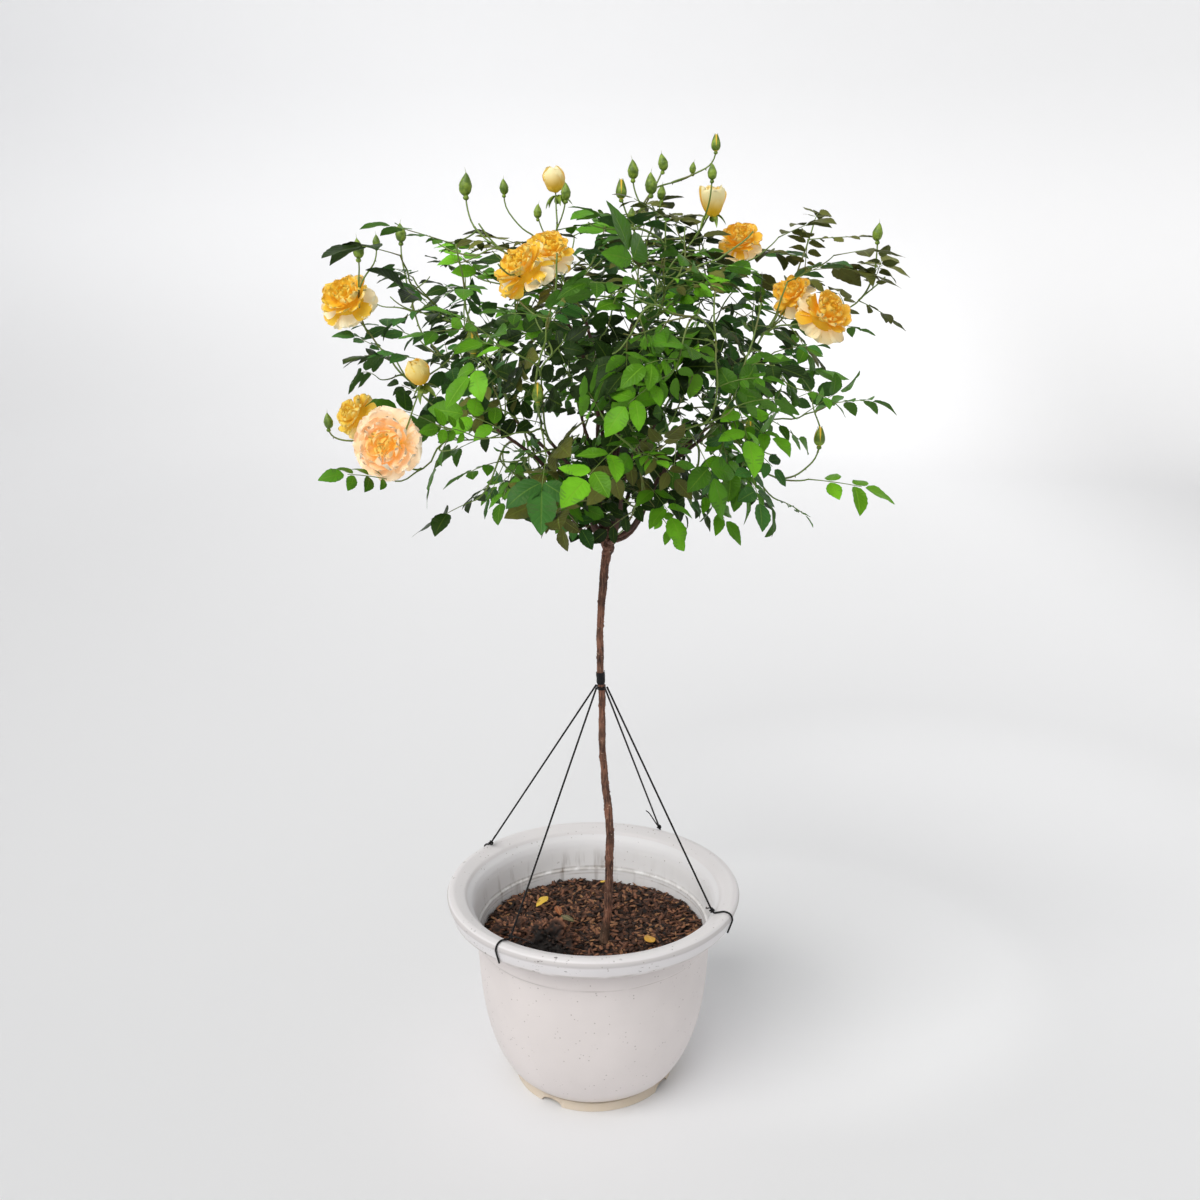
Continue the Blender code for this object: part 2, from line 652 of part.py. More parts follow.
def goals_of(mass):
    """Tips of the twigs that are named: (target, bare length, head); a head is a bloom or a bud."""
    goals = []
    for place, diameter, azimuth, height in BLOOMS.values():
        spot, face = Vector(place), facing(azimuth, height)
        goals.append((spot - face * (diameter * BLOOM_SEAT), BLOOM_BARE, bloom_shape(spot, diameter, face)))
    for place, length in BUDS:
        spot = Vector(place)
        goals.append((spot - UP * (length * BUD_SEAT), BUD_BARE, bud_shape(spot, length)))
    for place in SPRAYS:
        goals.append((Vector(place), 0.0, None))
    return [goal for goal in goals if in_cell(mass, goal)]


def in_cell(mass, goal):
    """True for a goal whose tip, or whose whole bloom or bud, is in the cell of this mass."""
    target, _, head = goal
    if mass.room(target) < 0.0:
        return False
    if head and min(mass.room(corner) for corner in head[0]) < CELL_GAP:
        raise ValueError(f"a bloom or bud at {tuple(target)} leaves the cell of {mass.name}")
    return True


def grow_twigs(mass, limbs, rng):
    """The stem, then twigs to the named and the seeded tips, nearest first."""
    points = [mass.entry + mass.heading * (STEM_LENGTH * along) for along, _ in STEM_POINTS]
    stem = Twig(points, [BOUGH_TIP * share for _, share in STEM_POINTS])
    twigs, heads = [stem], []
    goals = goals_of(mass)
    count = TIPS_TOP if mass.top else TIPS_RING
    for spot in even_tips(mass, rng, count, [goal[0] for goal in goals]):
        goals.append((spot, 0.0, None))
    goals.sort(key=lambda goal: (goal[0] - mass.entry).length)
    for target, bare, head in goals:
        if grow_twig(mass, twigs, target, bare, limbs, rng):
            if head:
                heads.append(head)
        elif head:
            raise ValueError(f"no twig of {mass.name} reaches {tuple(target)}")
    return twigs, heads


def leaf_frame(place, heading, turn, lead, rng):
    """Length and face directions of a leaf: turned round its twig, held nearly level, looking out."""
    side = heading.cross(UP)
    if side.length < 0.1:
        side = Vector((1.0, 0.0, 0.0))
    side = Matrix.Rotation(turn, 3, heading) @ side.normalized()
    along = heading * lead + side * 0.85 + UP * rng.uniform(-0.30, 0.20)
    along.normalize()
    along.z = min(along.z, STEEPEST_LEAF)
    along.normalize()
    out = Vector((place.x - HEAD.x, place.y - HEAD.y, 0.0))
    face = UP * 0.65 + out.normalized() * 0.8 + Vector([rng.uniform(-0.35, 0.35) for _ in range(3)])
    face = (face - along * face.dot(along)).normalized()
    return along, face


def leaf_shape(place, along, face, length):
    """Root over and under the middle of the twig, two widest points, the tip and a raised midrib."""
    across = along.cross(face)
    half = length * LEAF_WIDTH / 2
    middle = place + along * (length * 0.45)
    root = place - along * LEAF_SUNK
    corners = [
        root + face * LEAF_ROOT,
        root - face * LEAF_ROOT,
        middle + across * half - face * (length * 0.03),
        middle - across * half - face * (length * 0.03),
        place + along * length - face * (length * 0.10),
        middle + face * (LEAF_THICK - length * 0.005),
    ]
    return corners, LEAF_FACES


def leaf_blade(shape):
    """The leaf without its root, as a plain sheet for tests of touch."""
    root, _, left, right, tip, rib = shape[0]
    corners = [root.lerp(left, BLADE_START), root.lerp(right, BLADE_START), right, left, tip, rib]
    return corners, BLADE_FACES


def grow_leaves(mass, twigs, limbs, own, rng):
    """Leaves in turn round every twig from its tip inward; one that would touch anything is skipped."""
    leaves = []
    for twig in twigs[1:]:
        turn = rng.uniform(0.0, 2 * math.pi)
        distance = twig.length - twig.bare - 0.001
        lead = SIDE_LEAD if twig.bare else TIP_LEAD
        while distance > twig.length * LEAF_START:
            place, heading = twig.at(distance)
            length = LEAF_LENGTH * rng.uniform(0.82, 1.12)
            for attempt in range(LEAF_TRIES):
                along, face = leaf_frame(place, heading, turn + attempt * LEAF_TURN, lead, rng)
                shape = leaf_shape(place, along, face, length)
                blade = leaf_blade(shape)
                low = min(corner.z for corner in shape[0]) < LOWEST_LEAF
                if low or min(mass.room(corner) for corner in shape[0]) < CELL_GAP:
                    continue
                if not limbs.touches(blade) and not own.touches(blade):
                    leaves.append(shape)
                    own.add(blade)
                    break
            lead = SIDE_LEAD
            turn += GOLDEN_TURN
            distance -= LEAF_STEP * rng.uniform(0.85, 1.15)
    return leaves


def basis(direction):
    """Turns +Z to a direction."""
    return UP.rotation_difference(direction).to_matrix()


def turned_shape(spot, direction, profile, sides, ruffle):
    """A turned form on a direction: rows of (radius, height) between two poles, every second corner in."""
    turn = basis(direction)
    corners = [spot + turn @ Vector((0.0, 0.0, profile[0][1]))]
    for radius, height in profile[1:-1]:
        for k in range(sides):
            angle = 2 * math.pi * k / sides
            reach = radius * (1.0 + ruffle * (1 if k % 2 else -1))
            corners.append(spot + turn @ Vector((reach * math.cos(angle), reach * math.sin(angle), height)))
    corners.append(spot + turn @ Vector((0.0, 0.0, profile[-1][1])))
    top = len(corners) - 1
    faces = []
    for k in range(sides):
        j = (k + 1) % sides
        faces.append((0, 1 + j, 1 + k))
        for row in range(len(profile) - 3):
            low, high = 1 + row * sides, 1 + (row + 1) * sides
            faces.append((low + k, low + j, high + j, high + k))
        faces.append((top - sides + k, top - sides + j, top))
    return corners, faces


def bloom_shape(spot, diameter, face):
    """A globe for a bloom that is still closing, and a deep saucer with a domed middle for an open one."""
    r = diameter / 2
    if diameter < CLOSED_BLOOM:
        profile = [(0, -0.75), (0.80, -0.45), (1.0, 0.15), (0.62, 0.85), (0, 0.95)]
        sides, ruffle = 6, 0.0
    else:
        profile = [(0, -0.48), (0.50, -0.34), (0.97, -0.06), (0.86, 0.16), (0.45, 0.44), (0, 0.36)]
        sides, ruffle = 8, 0.06
    return turned_shape(spot, face, [(r * reach, r * height) for reach, height in profile], sides, ruffle)


def bud_shape(spot, length):
    profile = [(0, -0.50), (0.17, -0.30), (0.20, -0.05), (0, 0.50)]
    return turned_shape(spot, UP, [(length * reach, length * height) for reach, height in profile], 5, 0.0)


def largest_body(obj):
    """Keeps the biggest closed shell: a loose scrap is dropped, and a sealed hollow is filled."""
    bm = bmesh.new()
    bm.from_mesh(obj.data)
    bmesh.ops.remove_doubles(bm, verts=bm.verts, dist=MERGE)
    bmesh.ops.triangulate(bm, faces=bm.faces)
    unseen = set(bm.faces)
    shells = []
    while unseen:
        face = unseen.pop()
        shell, edge_of_search = [face], [face]
        while edge_of_search:
            for edge in edge_of_search.pop().edges:
                for link in edge.link_faces if len(edge.link_faces) == 2 else ():
                    if link in unseen:
                        unseen.remove(link)
                        shell.append(link)
                        edge_of_search.append(link)
        shells.append(shell)
    shells.sort(key=len)
    for shell in shells[:-1]:
        bmesh.ops.delete(bm, geom=shell, context="FACES")
    bm.to_mesh(obj.data)
    bm.free()


def fuse(obj, pieces):
    """One union of the object with every object of a collection, applied; then the pieces are removed."""
    join = obj.modifiers.new("fuse", "BOOLEAN")
    join.operation = "UNION"
    join.operand_type = "COLLECTION"
    join.collection = pieces
    join.solver = "MANIFOLD"
    depsgraph = bpy.context.evaluated_depsgraph_get()
    fused = bpy.data.meshes.new_from_object(obj.evaluated_get(depsgraph))
    obj.modifiers.clear()
    obj.data = fused
    for piece in list(pieces.objects):
        bpy.data.objects.remove(piece)
    bpy.data.collections.remove(pieces)


def make_foliage(mass, limbs, parts):
    """Fuses stem, twigs, leaves, blooms and buds of one mass into one solid."""
    rng = random.Random(mass.seed)
    twigs, heads = grow_twigs(mass, limbs, rng)
    own = Space()
    for twig in twigs:
        own.add(tube(twig.points, twig.radii, TWIG_SIDES))
    for shape in heads:
        own.add(shape)
    leaves = grow_leaves(mass, twigs, limbs, own, rng)
    name = f"foliage_{mass.name}"
    pieces = bpy.data.collections.new(f"pieces_{mass.name}")
    bpy.context.scene.collection.children.link(pieces)
    stem = twigs[0]
    obj = add_object(name, mesh_of(name, tube(stem.points, stem.radii, 6)), parts, "leaves")
    for i, twig in enumerate(twigs[1:]):
        add_object(f"twig_{i}", mesh_of(f"twig_{i}", tube(twig.points, twig.radii, TWIG_SIDES)), pieces)
    for i, shape in enumerate(heads):
        add_object(f"head_{i}", mesh_of(f"head_{i}", shape), pieces)
    for i, shape in enumerate(leaves):
        add_object(f"leaf_{i}", mesh_of(f"leaf_{i}", shape), pieces)
    fuse(obj, pieces)
    largest_body(obj)


def main():
    for obj in list(bpy.data.objects):
        bpy.data.objects.remove(obj)
    parts = bpy.data.collections.new("potted_standard_rose")
    cutters = bpy.data.collections.new("cutters")
    bpy.context.scene.collection.children.link(parts)
    bpy.context.scene.collection.children.link(cutters)
    make_pot(parts, cutters)
    make_mulch(parts)
    make_trunk(parts)
    make_cords(parts, make_band(parts))
    limbs = Space()
    limbs.add(tube(*trunk_points(), 8))
    masses = make_masses()
    for i, mass in enumerate(masses):
        points, radii = bough_route(mass, 2 if mass.top else i % 2)
        limbs.add(tube(points, radii, 6))
        curve_object(f"bough_{mass.name}", points, radii, parts, 6, "bark")
    for mass in masses:
        make_foliage(mass, limbs, parts)


main()
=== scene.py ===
"""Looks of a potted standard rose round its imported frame: pot, bark mulch, stem, tape and guy cords, and
a crown whose twigs grow by the same seeded rule as the source's and carry compound leaves and blossom.
Metres, +Z up, the camera side is -Y."""

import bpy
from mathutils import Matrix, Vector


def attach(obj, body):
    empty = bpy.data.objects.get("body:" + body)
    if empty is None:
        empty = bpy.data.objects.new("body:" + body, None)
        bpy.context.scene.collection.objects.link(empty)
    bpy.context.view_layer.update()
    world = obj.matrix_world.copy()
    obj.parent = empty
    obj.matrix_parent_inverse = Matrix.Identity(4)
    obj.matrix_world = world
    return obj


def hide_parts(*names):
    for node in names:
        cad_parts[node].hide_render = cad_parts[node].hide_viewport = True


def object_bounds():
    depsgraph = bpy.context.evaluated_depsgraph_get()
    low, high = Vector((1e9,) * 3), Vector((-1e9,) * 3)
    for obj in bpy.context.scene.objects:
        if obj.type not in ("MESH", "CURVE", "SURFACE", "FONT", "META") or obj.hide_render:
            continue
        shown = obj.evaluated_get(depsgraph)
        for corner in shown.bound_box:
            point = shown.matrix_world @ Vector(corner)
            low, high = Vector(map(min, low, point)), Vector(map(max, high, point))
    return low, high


bl_info = {
    "name": "Potted Standard Rose",
    "version": (1, 0, 0),
    "blender": (4, 5, 0),
    "location": "3D View > Sidebar > Rose",
    "description": "Makes the visible pieces of a potted standard rose round its packed frame",
    "category": "Add Mesh",
}

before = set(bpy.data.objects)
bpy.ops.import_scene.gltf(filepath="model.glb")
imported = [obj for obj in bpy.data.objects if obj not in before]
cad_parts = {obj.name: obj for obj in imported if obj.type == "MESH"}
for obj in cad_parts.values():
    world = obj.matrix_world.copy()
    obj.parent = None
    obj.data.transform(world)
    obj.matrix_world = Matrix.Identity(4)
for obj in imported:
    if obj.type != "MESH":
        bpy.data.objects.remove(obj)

import functools
import math
import random

import bpy
import numpy as np
from mathutils import Matrix, Vector
from mathutils.bvhtree import BVHTree

CAD_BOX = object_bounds()
UP = Vector((0.0, 0.0, 1.0))
FRONT = Vector((0.0096, -1.611, 1.151))     # where the camera stands
GAP = 0.0003            # clear space between pieces of the frame that touch


# Shapes: every surface is a grid of rows and columns worked out as whole arrays

class Shape:
    """Corners, faces in arrays by their number of sides, a UV for each corner of each face, a shade
    from 0 to 1 for each corner, and whether a corner lies on a sharp rim."""

    def __init__(self, points, faces, uvs, shade=0.0, rim=None):
        self.points = points.reshape(-1, 3)
        count = len(self.points)
        self.faces, self.uvs = faces, uvs
        self.shade = np.full(count, shade) if np.ndim(shade) == 0 else shade
        self.rim = np.zeros(count, bool) if rim is None else rim


def unit(vectors):
    """Vectors over their lengths."""
    return vectors / np.maximum(np.linalg.norm(vectors, axis=-1, keepdims=True), 1e-12)


def around(angle, height=0.0):
    """The ways (cos a, sin a, height) of angles."""
    return np.stack((np.cos(angle), np.sin(angle), height + 0.0 * angle), -1)


def column(rows, index):
    """One column of a table of rows."""
    return np.array([row[index] for row in rows])


def quads(grid):
    """Four-sided faces of a grid of numbers; their outer side is the rows' way crossed with the columns'."""
    return np.stack((grid[:-1, :-1], grid[1:, :-1], grid[1:, 1:], grid[:-1, 1:]), -1).reshape(-1, 4)


def rough(points, size, seed, waves=20):
    """A smooth irregular value of about -2 to 2: the sum of sines of seeded directions, lengths near
    the size and phases, divided by the root of half their number."""
    rng = np.random.default_rng(seed)
    ways = unit(rng.normal(size=(waves, 3))) * (2 * np.pi / size) * rng.uniform(0.6, 1.7, (waves, 1))
    phases = rng.uniform(0, 2 * np.pi, waves)
    return np.sin(points @ ways.T + phases).sum(-1) / (waves / 2) ** 0.5


def cubic(controls, count):
    """Points of cubics: s^3 a + 3 s^2 t b + 3 s t^2 c + t^3 d, where s = 1 - t."""
    t = np.linspace(0.0, 1.0, count)
    s = 1.0 - t
    weights = np.stack((s**3, 3 * s * s * t, 3 * s * t * t, t**3), -1)
    return np.einsum("ck,nkd->ncd", weights, np.asarray(controls, float))


def eased(rows, count):
    """A smooth line through rows of numbers: between two rows, a cubic whose slopes are half the
    difference of their neighbours."""
    rows = np.asarray(rows, float)
    slopes = np.gradient(rows, axis=0)
    place = np.linspace(0, len(rows) - 1, count)
    low = np.minimum(place.astype(int), len(rows) - 2)
    t = (place - low)[:, None]
    a, b, sa, sb = rows[low], rows[low + 1], slopes[low], slopes[low + 1]
    return (a * (2 * t**3 - 3 * t**2 + 1) + sa * (t**3 - 2 * t**2 + t)
            + b * (3 * t**2 - 2 * t**3) + sb * (t**3 - t**2))


def rings(paths, radii, sides):
    """Rings round paths: path + radius * (u cos a + v sin a). The way u is carried along without twist:
    at each step it loses its share along the heading and is made unit again; v is heading x u."""
    heading = unit(np.gradient(paths, axis=1))
    level = np.where(np.abs(heading[:, 0, 2:3]) < 0.9, (0.0, 0.0, 1.0), (1.0, 0.0, 0.0))
    u = np.empty_like(paths)
    u[:, 0] = unit(np.cross(heading[:, 0], level))
    for row in range(1, paths.shape[1]):
        share = (u[:, row - 1] * heading[:, row]).sum(-1, keepdims=True)
        u[:, row] = unit(u[:, row - 1] - heading[:, row] * share)
    v = np.cross(heading, u)
    a = (-2 * np.pi * np.arange(sides) / sides)[:, None]
    out = u[:, :, None] * np.cos(a) + v[:, :, None] * np.sin(a)
    return paths[:, :, None] + out * radii[..., None, None], out


def surface(points, shade=0.0):
    """Closed surfaces from rings (surface, row, corner): quads between rings and a face over each end.
    U is the share of the way round, V the distance along in metres. Shade is one value, or one for each
    surface, ring or corner."""
    count, rows, sides = points.shape[:3]
    index = np.arange(rows * sides).reshape(rows, sides)
    wall = quads(np.concatenate((index, index[:, :1]), 1))
    caps = np.stack((index[0], index[-1][::-1]))
    offset = (np.arange(count) * rows * sides)[:, None, None]
    steps = np.linalg.norm(np.diff(points.mean(2), axis=1), axis=-1)
    steps = np.maximum(steps, np.linalg.norm(np.diff(points, axis=1), axis=-1).mean(-1))
    along = np.concatenate((np.zeros((count, 1)), np.cumsum(steps, 1)), 1)
    row_of, col_of = np.meshgrid(np.arange(rows), np.arange(sides + 1), indexing="ij")
    v = along[:, quads(row_of)]
    u = np.broadcast_to(quads(col_of) / sides, v.shape)
    shade = np.asarray(shade, float)
    shade = shade.reshape(shade.shape + (1,) * (3 - shade.ndim)) if shade.ndim else shade
    shades = np.broadcast_to(shade, (count, rows, sides)).reshape(-1)
    return Shape(
        points, [(wall + offset).reshape(-1, 4), (caps + offset).reshape(-1, sides)],
        [np.stack((u, v), -1).reshape(-1, 4, 2), np.zeros((count * 2, sides, 2))], shades)


def tubes(paths, radii, sides, shade=0.0):
    """Closed surfaces of the rings round paths."""
    return surface(rings(paths, radii, sides)[0], shade)


def sheets(upper, normal, thick, shade=0.0):
    """Closed thin sheets from grids (sheet, row, column): the under side lies the given thickness under
    the upper one and meets it along the rim. U runs 0 to 1 along the rows and V 0 to 1 across; U is 2
    more on the under side."""
    count, rows, cols = upper.shape[:3]
    under = (upper - normal * thick)[:, 1:-1, 1:-1]
    per = rows * cols + (rows - 2) * (cols - 2)
    points = np.concatenate((upper.reshape(count, -1, 3), under.reshape(count, -1, 3)), 1)
    top = np.arange(rows * cols).reshape(rows, cols)
    low = top.copy()
    low[1:-1, 1:-1] = np.arange(rows * cols, per).reshape(rows - 2, cols - 2)
    faces = np.concatenate((quads(top), quads(low)[:, ::-1]))
    across, along = np.meshgrid(np.linspace(0, 1, cols), np.linspace(0, 1, rows))
    uv = np.stack((along, across), -1).reshape(-1, 2)
    corner = quads(top)
    uvs = np.concatenate((uv[corner], uv[corner[:, ::-1]] + (2.0, 0.0)))
    rim = np.ones((rows, cols), bool)
    rim[1:-1, 1:-1] = False
    rim = np.tile(np.concatenate((rim.reshape(-1), np.zeros(per - rows * cols, bool))), count)
    offset = (np.arange(count) * per)[:, None, None]
    shades = np.repeat(np.broadcast_to(np.asarray(shade, float), (count,)), per)
    return Shape(points, [(faces + offset).reshape(-1, 4)], [np.tile(uvs, (count, 1, 1))], shades, rim)


def put(name, shapes, finish, nodes):
    """Joins shapes into one piece with its material; it rides on the root and stands for the nodes."""
    starts = np.cumsum([0] + [len(shape.points) for shape in shapes])
    faces = [face + start for shape, start in zip(shapes, starts) for face in shape.faces]
    sizes = np.concatenate([np.full(len(face), face.shape[1]) for face in faces])
    mesh = bpy.data.meshes.new(name)

    def fill(layer, key, parts, kind=np.float32):
        layer.foreach_set(key, np.concatenate([np.reshape(part, -1) for part in parts]).astype(kind))

    mesh.vertices.add(int(starts[-1]))
    fill(mesh.vertices, "co", [shape.points for shape in shapes])
    mesh.loops.add(int(sizes.sum()))
    fill(mesh.loops, "vertex_index", faces, np.int32)
    mesh.polygons.add(len(sizes))
    fill(mesh.polygons, "loop_start", [np.cumsum(sizes) - sizes], np.int32)
    mesh.update(calc_edges=True)
    mesh.shade_smooth()
    layer = mesh.uv_layers.new(name="UVMap")
    fill(layer.uv, "vector", [uv for shape in shapes for uv in shape.uvs])
    shade = mesh.attributes.new("shade", "FLOAT", "POINT")
    fill(shade.data, "value", [shape.shade for shape in shapes])
    rim = np.concatenate([shape.rim for shape in shapes])
    if rim.any():
        ends = np.empty(len(mesh.edges) * 2, np.int32)
        mesh.edges.foreach_get("vertices", ends)
        sharp = mesh.attributes.new("sharp_edge", "BOOLEAN", "EDGE")
        sharp.data.foreach_set("value", rim[ends].reshape(-1, 2).all(-1))
    mesh.materials.append(finish.material)
    piece = bpy.data.objects.new(name, mesh)
    bpy.context.scene.collection.objects.link(piece)
    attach(piece, "root")
    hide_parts(*nodes)


# Shader maths

def adds(operation, turned=False):
    """A method of Value that adds the Math node of an operation."""
    def method(self, other):
        return self.maths(operation, *((other, self) if turned else (self, other)))
    return method


class Value:
    """A socket; an expression on such values and numbers adds its Math nodes."""

    def __init__(self, finish, socket):
        self.finish, self.socket = finish, socket

    def maths(self, operation, *values):
        return self.finish.add("ShaderNodeMath", {"operation": operation}, dict(enumerate(values)))

    __add__ = __radd__ = adds("ADD")
    __mul__ = __rmul__ = adds("MULTIPLY")
    __sub__, __rsub__ = adds("SUBTRACT"), adds("SUBTRACT", True)
    __pow__ = adds("POWER")

    def __abs__(self):
        return self.maths("ABSOLUTE", self)

    def fraction(self):
        return self.maths("FRACT", self)

    def above(self, low, high):
        """0 below low, 1 above high and smooth between; with low over high it falls instead."""
        return self.finish.add(
            "ShaderNodeMapRange", {"interpolation_type": "SMOOTHSTEP"},
            {"Value": self, "From Min": min(low, high), "From Max": max(low, high),
             "To Min": 0.0 if low < high else 1.0, "To Max": 1.0 if low < high else 0.0})


class Finish:
    """A material with one Principled shader, whose other nodes all come from add. Its colour is built up
    in base, layer over layer; noises and spots stand at the place in the object unless told otherwise."""

    def __init__(self, name, **constants):
        self.material = bpy.data.materials.new(name)
        self.material.use_nodes = True
        self.tree = self.material.node_tree
        self.shader = self.tree.nodes["Principled BSDF"]
        for socket, value in constants.items():
            self.shader.inputs[socket.replace("_", " ")].default_value = value
        self.place = self.tall(1.0)
        self.base = None

    def add(self, kind, settings=None, inputs=None, out=0):
        node = self.tree.nodes.new(kind)
        for key, value in (settings or {}).items():
            if key == "stops":
                for place, colour in value[len(node.color_ramp.elements):]:
                    node.color_ramp.elements.new(place)
                for element, (place, colour) in zip(node.color_ramp.elements, value):
                    element.position, element.color = place, (*colour, 1.0)
            else:
                setattr(node, key, value)
        for key, value in (inputs or {}).items():
            self.feed(node.inputs[key], value)
        return Value(self, node.outputs[out])

    def feed(self, socket, value):
        if isinstance(value, Value):
            self.tree.links.new(value.socket, socket)
        else:
            socket.default_value = value

    def tall(self, scale):
        """The place in the object with its height scaled, which draws a pattern out or flattens it."""
        place = self.add("ShaderNodeTexCoord", out="Object")
        return self.add("ShaderNodeMapping", None, {"Vector": place, "Scale": (1.0, 1.0, scale)})

    def parts(self, vector):
        """The x, y and z of a vector."""
        x = self.add("ShaderNodeSeparateXYZ", None, {"Vector": vector})
        return [Value(self, socket) for socket in x.socket.node.outputs]

    def uv(self):
        return self.parts(self.add("ShaderNodeTexCoord", out="UV"))

    def sheet(self):
        """The shares along and across a sheet, and 1 on its under side."""
        u, v, _ = self.uv()
        under = u.above(1.4, 1.6)
        return u - under * 2.0, v, under

    def shade(self):
        return self.add("ShaderNodeAttribute", {"attribute_name": "shade"}, out="Fac")

    def noise(self, scale, detail=3.0, roughness=0.55, place=None):
        return self.add("ShaderNodeTexNoise", None, {
            "Vector": place or self.place, "Scale": scale, "Detail": detail, "Roughness": roughness})

    def spots(self, scale, place=None):
        return self.add("ShaderNodeTexVoronoi", None, {"Vector": place or self.place, "Scale": scale})

    def ramp(self, value, *stops):
        """A colour for each value, from stops of place and colour."""
        return self.add("ShaderNodeValToRGB", {"stops": stops}, {"Fac": value})

    def mix(self, share, one, other):
        """A colour between two, by a share from 0 to 1."""
        one, other = ((*value, 1.0) if isinstance(value, tuple) else value for value in (one, other))
        return self.add("ShaderNodeMix", {"data_type": "RGBA"}, {0: share, 6: one, 7: other}, out=2)

    def over(self, share, colour):
        """Lays a colour over the base by a share from 0 to 1."""
        self.base = self.mix(share, self.base, colour)

    def relief(self, height, distance, strength):
        bump = self.add(
            "ShaderNodeBump", None, {"Height": height, "Distance": distance, "Strength": strength})
        self.feed(self.shader.inputs["Normal"], bump)

    def painted(self, roughness=None):
        self.feed(self.shader.inputs["Base Color"], self.base)
        if roughness is not None:
            self.feed(self.shader.inputs["Roughness"], roughness)
        return self


def tinted(colour, share, add=(0.0, 0.0, 0.0)):
    """A colour made darker or lighter by a share, with a little of another added."""
    return tuple(min(1.0, part * share + more) for part, more in zip(colour, add))


def pot_finish(colour):
    """Satin plastic with fine dark specks, dirt streaks inside, scuffs on the rim and a stained foot.
    Painted sky light pales the inside and the rim band; painted shade darkens the rim's outer edge,
    and the ledge along with its dirt.
    """
    made = Finish("pot_plastic", Roughness=0.42, Specular_IOR_Level=0.3)
    x, y, z = made.parts(made.place)
    reach = (x * x + y * y) ** 0.5
    inside = made.shade()
    tone = made.noise(7.0, 4.0)
    made.base = made.mix(tone.above(0.35, 0.7), tinted(colour, 0.96), tinted(colour, 1.03))
    # Painted sky light: the inside and the rim band are paler and bluer than the plastic's own colour.
    made.over(inside * 0.9, (0.94, 0.94, 0.95))
    made.over(z.above(0.258, 0.276) * 0.7, (0.83, 0.82, 0.84))
    speck = made.spots(150.0).above(0.2, 0.12) * made.noise(50.0).above(0.5, 0.6)
    made.over(speck * 0.45, (0.22, 0.18, 0.15))
    streak = made.noise(75.0, 5.0, place=made.tall(0.12)).above(0.52, 0.7)
    corner = (x * 0.45 - y + 0.19).above(0.1, 0.0)
    grime_and_shade = streak * inside * z.above(0.272, 0.24) * (corner * 0.6 + 0.1)
    # Painted shade in part: the dark line at the ledge is dirt made strong enough to dim the ledge's
    # highlight.
    ledge = abs(z - 0.2335).above(0.005, 0.002) * inside * made.noise(55.0).above(0.25, 0.6)
    grime_and_shade = grime_and_shade + ledge * 0.8 * (corner * 0.4 + 0.5)
    # Painted shade: a dark line round the rim's outer edge, where its top turns down.
    grime_and_shade = grime_and_shade + abs(reach - 0.2092).above(0.0016, 0.0004) * z.above(0.282, 0.286) * 0.45
    made.over(grime_and_shade * 0.7, (0.24, 0.2, 0.17))
    scuff = made.noise(95.0, 5.0, place=made.tall(3.0)).above(0.64, 0.7)
    worn = (made.noise(14.0) + x.above(-0.12, -0.17) * 0.2).above(0.56, 0.64) * reach.above(0.195, 0.202)
    made.over(scuff * worn * 0.75, (0.1, 0.085, 0.08))
    seam = abs(z - 0.2258).above(0.0016, 0.0004) * reach.above(0.16, 0.165)
    seam = seam + abs(z - 0.267).above(0.004, 0.001) * reach.above(0.175, 0.18) * reach.above(0.206, 0.204)
    made.over(seam * made.noise(25.0).above(0.3, 0.6) * 0.5, (0.4, 0.35, 0.31))
    made.over(z.above(0.04, 0.012) * reach.above(0.085, 0.1) * made.noise(24.0) * 0.7, (0.63, 0.54, 0.42))
    made.over(z.above(0.0135, 0.0125) * (0.5 + made.noise(60.0) * 0.6), (0.68, 0.58, 0.45))
    line = abs(z - 0.0135).above(0.0022, 0.0004) * made.noise(40.0).above(0.3, 0.6)
    made.over(line * 0.75, (0.22, 0.18, 0.13))
    made.relief(made.noise(420.0, 2.0) * 0.4 + speck * -0.6, 0.00012, 0.5)
    return made.painted(0.36 + tone * 0.14 + grime_and_shade * 0.3)


def mulch_finish(colour):
    """Moist bark crumbs: from near black through reddish brown to orange-yellow slivers by the shade, and
    painted shade that darkens the hollow before the clods."""
    made = Finish("bark_mulch", Roughness=0.85)
    grain = made.noise(520.0, 4.0, 0.7)
    x, y, _ = made.parts(made.place)
    # Painted shade: the mulch is darker in the hollow before the clods.
    away = (x + 0.074) ** 2.0 + (y + 0.096) ** 2.0 + (made.noise(40.0) - 0.5) * 0.004
    tone = made.shade() * 0.9 + (grain - 0.5) * 0.3 + (made.noise(150.0) - 0.5) * 0.35
    made.base = made.ramp(
        tone - away.above(0.004, 0.001) * 0.55,
        (0.0, (0.007, 0.004, 0.003)), (0.28, tinted(colour, 0.32)), (0.55, colour),
        (0.74, tinted(colour, 2.4)), (0.9, (0.36, 0.18, 0.08)), (1.0, (0.56, 0.32, 0.1)))
    made.relief(grain + made.noise(1500.0, 2.0) * 0.4, 0.0005, 0.8)
    return made.painted(0.62 + grain * 0.35)


